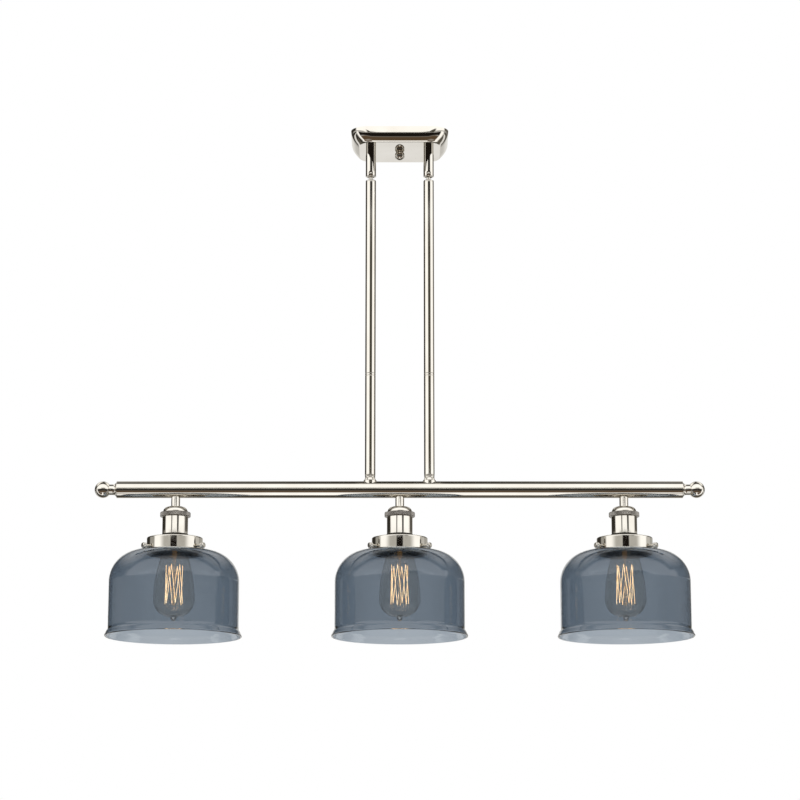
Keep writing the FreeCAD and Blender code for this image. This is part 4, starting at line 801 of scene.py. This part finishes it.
def make_bulb_glass(side, at):
    """Teardrop bulb with a drawn tip. Its neck stands in the screw base."""
    wall, neck_r, wide_r, dome_r, side_curve = 1.6, 14.8, 31.2, 26.5, 236.0
    base_wall, base_gap, thread_depth = 0.4, 0.05, 0.45
    neck_in_base, skirt_gap, inner_step = 7.0, 0.2, 0.6
    pip, pip_root, pip_length, pip_cove, pip_ease = 4.5, 6.1, 5.9, 2.6, 0.4
    pip_shoulder, pip_depth, pip_inset = 2.2, 2.0, 1.0
    in_base = THREAD_CREST_R - thread_depth - base_wall - base_gap
    neck_z, wide_z = BAR_Z - 83.5, BAR_Z - 165.0
    dome_foot = wide_z - math.sqrt(dome_r**2 - (pip_root - (wide_r - dome_r)) ** 2)
    tip = wide_z - dome_r - pip_length
    points = outline([
        (in_base - wall, BASE_FOOT + neck_in_base), (in_base, BASE_FOOT + neck_in_base),
        (in_base, BASE_FOOT - skirt_gap), (neck_r, neck_z), (wide_r, wide_z, side_curve, RIGHT_TURN),
        (pip_root, dome_foot, dome_r, RIGHT_TURN),
        (pip - pip_ease, dome_foot - pip_shoulder, pip_cove, LEFT_TURN),
        (0.0, tip, pip + pip_ease, RIGHT_TURN), (0.0, tip + pip_depth),
        (pip_root - pip_inset, dome_foot + wall), (wide_r - wall, wide_z, dome_r - wall, LEFT_TURN),
        (neck_r - wall, neck_z, side_curve - wall, LEFT_TURN), (in_base - wall, BASE_FOOT - inner_step),
    ], soften=0.0, step=4)
    bulb = lathe("bulb_glass_%s_skin" % side, points, at, segments=128)
    dress(bulb, CLEAR, "bulb_" + side, "bulb_clear_glass", "bulb_glass_" + side)


def make_base(side, at):
    """Screw base with a true rolled thread: the crest climbs as it goes round."""
    root, inner_r, contact_r = 12.7, 12.3, 4.8
    contact_crown, contact_edge, crown_drop = 1.0, 0.2, 0.7
    shoulder_inset, bevel, bevel_height = 0.4, 0.2, 0.3
    steps_per_turn, runout, lid = 12, 0.2, 1.0
    thread_top = BULB_TOP - CONTACT_HEIGHT - INSULATOR_HEIGHT
    thread_foot = thread_top - THREAD_TURNS * THREAD_PITCH
    steps = THREAD_TURNS * steps_per_turn
    points = [
        (0.0, BULB_TOP), (contact_r - contact_crown, BULB_TOP),
        (contact_r - contact_edge, BULB_TOP - crown_drop), (contact_r, BULB_TOP - CONTACT_HEIGHT),
        (root - shoulder_inset, thread_top + bevel_height),
    ]
    points += [(root, thread_top - (thread_top - thread_foot) * k / steps) for k in range(steps + 1)]
    points += [
        (root, BASE_FOOT + bevel_height), (root - bevel, BASE_FOOT), (inner_r, BASE_FOOT),
        (inner_r, thread_top - lid), (0.0, thread_top - lid),
    ]

    def thread(r, a, z):
        if abs(r - root) > TINY or z > thread_top - runout or z < thread_foot + runout:
            return r, z
        fade = min(1.0, (thread_top - z) / THREAD_PITCH, (z - thread_foot) / THREAD_PITCH)
        wave = 0.5 + 0.5 * math.cos(FULL_TURN * ((thread_top - z) / THREAD_PITCH) - a)
        return r + (THREAD_CREST_R - root) * wave * fade, z

    base = lathe("bulb_base_%s_skin" % side, points, at, 72, thread)
    dress(base, BRASS, "bulb_" + side, "bulb_brass", "bulb_base_" + side)


def make_filament(side, x):
    """Strands that hang between two rings of hooks, and the wires that carry the hooks."""
    strands, strand_steps, strand_r = 12, 12, 0.4
    bow_out, bow_in, sway_width = 0.2, -0.12, 0.12
    hook_r, hook_sides = 0.16, 6
    top, foot, mount_foot = BAR_Z - 113.7, BAR_Z - 172.0, BAR_Z - 108.0
    top_r, foot_r = 12.4, 13.8
    shift = Vector((x, 0, 0))
    points = []
    for n in range(strands):
        a = FULL_TURN * (n + 0.5) / strands
        reach, z = (top_r, top) if n % 2 == 0 else (foot_r, foot)
        points.append(Vector((reach * math.cos(a), reach * math.sin(a), z)))
    parts = []
    for n, (start, end) in enumerate(zip(points, points[1:]), 1):
        middle = (start + end) / 2
        out = Vector((middle.x, middle.y, 0)).normalized()
        tangent = Vector((-out.y, out.x, 0))
        path = []
        for k in range(strand_steps + 1):
            t = k / strand_steps
            swell = math.sin(math.pi * t)
            bow = (bow_out if n % 3 else bow_in) * swell
            sway = sway_width * math.sin(2.3 * n + 9.0 * t) * swell
            path.append(start.lerp(end, t) + out * bow + tangent * sway + shift)
        parts.append(wire(path, strand_r, sides=8))
    filament = joined("bulb_filament_%s_skin" % side, parts)
    dress(filament, FILAMENT, "bulb_" + side, "filament_metal", "bulb_filament_" + side)

    def spoke(p, inner_r, inner_z, knee_r, knee_z, hook):
        """From the glass mount out to the strands' end p, and round it along offsets out and up."""
        out = Vector((p.x, p.y, 0)).normalized()
        path = [out * inner_r + Vector((0, 0, inner_z)), out * knee_r + Vector((0, 0, knee_z))]
        path += [p + out * reach + Vector((0, 0, rise)) for reach, rise in hook]
        return wire([point + shift for point in path], hook_r, hook_sides)

    low_hook = ((0.0, 0.3), (0.5, -0.5), (-0.2, -0.9))
    high_hook = ((0.0, 0.9), (0.4, 0.4))
    wires = [
        spoke(p, inner_r=1.7, inner_z=foot + 6.6, knee_r=10.6, knee_z=foot + 6.3, hook=low_hook)
        for p in points[1::2]
    ]
    wires += [
        spoke(p, inner_r=2.2, inner_z=mount_foot, knee_r=9.5, knee_z=top + 2.2, hook=high_hook)
        for p in points[0::2]
    ]
    dress(joined("bulb_hooks_" + side, wires), WIRE, "bulb_" + side, "filament_metal")


def make_lamp(side, sign):
    x = sign * LAMP_X
    at = (x, 0, 0)
    make_cap(side, at)
    make_ring(side, at)
    make_barrel(side, at)
    make_fitter(side, at)
    make_glass(side, at)
    make_bulb_glass(side, at)
    make_base(side, at)
    make_filament(side, x)
    for screw_side, angle in SCREW_DIRECTIONS:
        make_screw(side, screw_side, angle, x)


# ---------------------------------------------------------------------------------------------
# Build
# ---------------------------------------------------------------------------------------------

make_canopy()
make_ball_nut()
make_stem_set()
make_bar()
for lamp_side, lamp_sign in LAMP_SIDES:
    make_lamp(lamp_side, lamp_sign)

CAD_MATERIALS = {
    "mounting_crossbar": ZINC, "canopy_stud": ZINC, "stud_lock_nut": ZINC, "ground_screw": GREEN,
    "swivel_housings": NICKEL, "swivel_nipples": ZINC, "swivel_lock_nuts": ZINC, "drop_stems": NICKEL,
    "lampholders": HOLDER, "screw_shells": BRASS, "center_contacts": BRASS, "shade_lock_rings": HOLDER,
    "bulb_stem_left": MOUNT, "bulb_stem_center": MOUNT, "bulb_stem_right": MOUNT,
}
for node_name, node_material in CAD_MATERIALS.items():
    node_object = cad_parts[node_name]
    node_object.data.materials.clear()
    node_object.data.materials.append(node_material)

# ---------------------------------------------------------------------------------------------
# Camera, studio and lights
# ---------------------------------------------------------------------------------------------

CAMERA_PLACE = (0.0004, -3.6143, -1.1827)
CAMERA_TILT = 102.0
CAMERA_LENS = 110.07
SENSOR_WIDTH = 36.0
FLOOR_HALF = 12000.0
FLOOR_Z = -1950.0
SOFT_LIGHT = 0.75

# Light of the studio that the metal mirrors
PAPER = (1.5, 1.5, 1.5)
BLACK = (0.014, 0.011, 0.009)
BROWN = (0.13, 0.085, 0.05)
LAMP_WHITE = (1.35, 1.33, 1.28)

# Angles above the horizon, in degrees. The camera stands below the pendant, so that each upright metal
# wall mirrors the studio at a height of its own: the glass at 6 to 8, the fitter below FITTER_EDGE, the
# barrel just above it, the stems at 10 to 17 and the canopy at 18.
LOWEST, HIGHEST = -91, 91
MIDDLE_FOOT = 8.0
FITTER_FOOT_RISE = 7.9
FITTER_EDGE = 8.88
BARREL_EDGE = 9.75
CRISP = 0.03


def add_camera():
    data = bpy.data.cameras.new("camera")
    data.sensor_width = SENSOR_WIDTH
    data.lens = CAMERA_LENS
    data.clip_end = 100.0
    camera = bpy.data.objects.new("camera", data)
    camera.location = CAMERA_PLACE
    camera.rotation_euler = (math.radians(CAMERA_TILT), 0, 0)
    bpy.context.scene.collection.objects.link(camera)
    bpy.context.scene.camera = camera


def make_floor():
    corners = [(sx * FLOOR_HALF, sy * FLOOR_HALF, FLOOR_Z) for sx, sy in ((-1, -1), (1, -1), (1, 1), (-1, 1))]
    floor = add_mesh("studio_floor", corners, [(0, 1, 2, 3)])
    material, nodes, links, shader = new_material("studio_floor_paper")
    shader.inputs["Roughness"].default_value = 0.9
    tone = noise_node(nodes, links, scale=3.0, detail=2.0)
    color_between(nodes, links, tone, (0.86, 0.86, 0.86), (0.88, 0.88, 0.88), shader.inputs["Base Color"])
    floor.data.materials.append(material)
    floor.visible_glossy = False


def make_world():
    """White to the camera and through glass, an even light on matt pieces, and a studio of light and dark
    patches in what the metal mirrors."""
    world = bpy.data.worlds.new("studio")
    bpy.context.scene.world = world
    world.use_nodes = True
    nodes, links = world.node_tree.nodes, world.node_tree.links
    nodes.clear()
    output = nodes.new("ShaderNodeOutputWorld")
    path = nodes.new("ShaderNodeLightPath")
    coordinates = nodes.new("ShaderNodeTexCoord")
    split = nodes.new("ShaderNodeSeparateXYZ")
    links.new(coordinates.outputs["Generated"], split.inputs["Vector"])

    def math_node(operation, first, second=None):
        node = nodes.new("ShaderNodeMath")
        node.operation = operation
        for socket, value in zip(node.inputs, (first, second)):
            if value is None:
                continue
            if isinstance(value, (int, float)):
                socket.default_value = value
            else:
                links.new(value, socket)
        return node.outputs["Value"]

    def step(source, edge, soft, start, end):
        """Goes softly from start to end as the source passes the edge."""
        node = nodes.new("ShaderNodeMapRange")
        node.interpolation_type = "SMOOTHSTEP"
        node.inputs["From Min"].default_value = edge - soft
        node.inputs["From Max"].default_value = edge + soft
        node.inputs["To Min"].default_value = start
        node.inputs["To Max"].default_value = end
        links.new(source, node.inputs["Value"])
        return node.outputs["Result"]

    def band(source, low, high, soft):
        """1 between two values of the source, 0 outside, with soft edges."""
        return math_node("MULTIPLY", step(source, low, soft, 0.0, 1.0), step(source, high, soft, 1.0, 0.0))

    def degrees(value):
        return math_node("MULTIPLY", value, 180 / math.pi)

    x, y, z = split.outputs["X"], split.outputs["Y"], split.outputs["Z"]
    flat = math_node("SQRT", math_node("ADD", math_node("MULTIPLY", x, x), math_node("MULTIPLY", y, y)))
    forward = math_node("MULTIPLY", y, -1.0)
    rise_angle = degrees(math_node("ARCTAN2", z, flat))
    front_angle = degrees(math_node("ARCTAN2", x, forward))
    rear_angle = degrees(math_node("ARCTAN2", x, y))
    arch_angle = degrees(math_node("ARCTAN2", z, forward))

    def patch(rise, around):
        """A window between two rise angles and two angles around the vertical, each with its softness."""
        return math_node("MULTIPLY", band(rise_angle, *rise), band(front_angle, *around))

    def arch(low, high, soft):
        """A strip from the left to the right over the pendant, or under it."""
        return band(arch_angle, low, high, soft)

    def steep(mask):
        """The mask without what lies near the horizon."""
        return math_node("MULTIPLY", mask, math_node("SUBTRACT", 1.0, band(rise_angle, -22, 22, 3)))

    def behind(rise, reach, soft):
        """A window straight behind, between two rise angles."""
        return math_node("MULTIPLY", band(rise_angle, *rise), band(rear_angle, -reach, reach, soft))

    # Each patch lies over those before it
    studio = (
        # Dark behind, which the edges of upright walls mirror at the sides and those of the bar above and below
        (patch((LOWEST, HIGHEST, 1), (-200, -90, 8)), (0.04, 0.036, 0.03)),
        (patch((LOWEST, HIGHEST, 1), (100, 200, 8)), (0.13, 0.12, 0.105)),
        (steep(arch(77, 200, 10)), (0.035, 0.03, 0.024)),
        (steep(arch(-200, -118, 9)), (0.13, 0.12, 0.10)),
        # Two bright lamps high at the sides behind, and a white strip low behind
        (patch((34, 62, 13), (-170, -92, 12)), LAMP_WHITE),
        (patch((34, 62, 13), (92, 170, 12)), LAMP_WHITE),
        (arch(-171, -152, 4), (1.0, 1.0, 1.0)),
        # Greys in front and at the sides for the fitters, and a pale window straight behind
        (patch((-30, FITTER_EDGE, CRISP), (-50, 55, 14)), (0.62, 0.61, 0.58)),
        (patch((MIDDLE_FOOT, FITTER_EDGE, CRISP), (-118, -88, 5)), (0.45, 0.44, 0.41)),
        (patch((MIDDLE_FOOT, FITTER_EDGE, CRISP), (95, 125, 5)), (0.7, 0.69, 0.66)),
        (patch((MIDDLE_FOOT, FITTER_EDGE, CRISP), (125, 160, 5)), (0.5, 0.49, 0.46)),
        (behind((-9, 24, 1), 19, 4), (0.85, 0.84, 0.81)),
        # Brown and black in front, for the bent sides of the canopy and for the bar
        (patch((-72, -48, 6), (-77, -14, 3)), BROWN),
        (patch((-72, -48, 6), (14, 77, 3)), BROWN),
        (patch((-48, -22, 6), (-76, 76, 3)), BROWN),
        (patch((-22, 3, 4), (-76, 76, 3)), BLACK),
        # The dark line along each stem, and its darker end below the canopy
        (patch((9.4, 16.3, 0.3), (-19, 36, 7)), (0.085, 0.08, 0.062)),
        (patch((16.3, 18.6, 0.4), (-19, 36, 7)), (0.03, 0.028, 0.024)),
        # The sheen of the glass walls
        (patch((3.5, FITTER_FOOT_RISE, 0.2), (-132, 132, 5)), (0.25, 0.25, 0.25)),
        (patch((3.5, FITTER_FOOT_RISE, 0.2), (-116, 116, 14)), (0.55, 0.545, 0.53)),
        # The black line of the fitters, and the dark and white lines of the barrels
        (patch((FITTER_FOOT_RISE, FITTER_EDGE, CRISP), (-13, 13, 2.5)), BLACK),
        (patch((FITTER_EDGE, BARREL_EDGE, CRISP), (-31, -22, 3)), (0.12, 0.115, 0.105)),
        (patch((FITTER_EDGE, BARREL_EDGE, CRISP), (21, 36, 3)), (0.04, 0.037, 0.032)),
        (patch((FITTER_EDGE, BARREL_EDGE, CRISP), (-14, 15, 3)), PAPER),
    )
    result = None
    for mask, color in studio:
        mix = nodes.new("ShaderNodeMix")
        mix.data_type = "RGBA"
        links.new(mask, mix.inputs["Factor"])
        first_color, second_color = [socket for socket in mix.inputs if socket.type == "RGBA"]
        if result is None:
            first_color.default_value = PAPER + (1,)
        else:
            links.new(result, first_color)
        second_color.default_value = color + (1,)
        result = [socket for socket in mix.outputs if socket.type == "RGBA"][0]

    seen = nodes.new("ShaderNodeBackground")
    seen.inputs["Color"].default_value = (1, 1, 1, 1)
    mirrored = nodes.new("ShaderNodeBackground")
    links.new(result, mirrored.inputs["Color"])
    soft = nodes.new("ShaderNodeBackground")
    soft.inputs["Color"].default_value = (1, 1, 1, 1)
    soft.inputs["Strength"].default_value = SOFT_LIGHT

    def choose(factor, otherwise, where):
        """One background where the factor is 1 and another where it is 0."""
        mix = nodes.new("ShaderNodeMixShader")
        links.new(factor, mix.inputs["Fac"])
        links.new(otherwise, mix.inputs[1])
        links.new(where, mix.inputs[2])
        return mix.outputs["Shader"]

    lit = choose(path.outputs["Is Glossy Ray"], soft.outputs["Background"], mirrored.outputs["Background"])
    direct = math_node("MAXIMUM", path.outputs["Is Camera Ray"], path.outputs["Is Transmission Ray"])
    links.new(choose(direct, lit, seen.outputs["Background"]), output.inputs["Surface"])


def add_area(name, location, target, size, power):
    data = bpy.data.lights.new(name, "AREA")
    data.shape = "RECTANGLE"
    data.size, data.size_y = size, size
    data.energy = power
    light = bpy.data.objects.new(name, data)
    light.location = location
    light.rotation_euler = (Vector(target) - Vector(location)).to_track_quat("-Z", "Y").to_euler()
    light.visible_glossy = False
    light.visible_transmission = False
    bpy.context.scene.collection.objects.link(light)


add_camera()
make_floor()
make_world()
add_area("soft_key", (-2.2, -2.6, 0.9), target=(0, 0, -0.5), size=1.6, power=34.0)
add_area("soft_fill", (2.4, -2.2, 0.2), target=(0, 0, -0.6), size=1.8, power=16.0)

bpy.context.scene.view_settings.view_transform = "Standard"
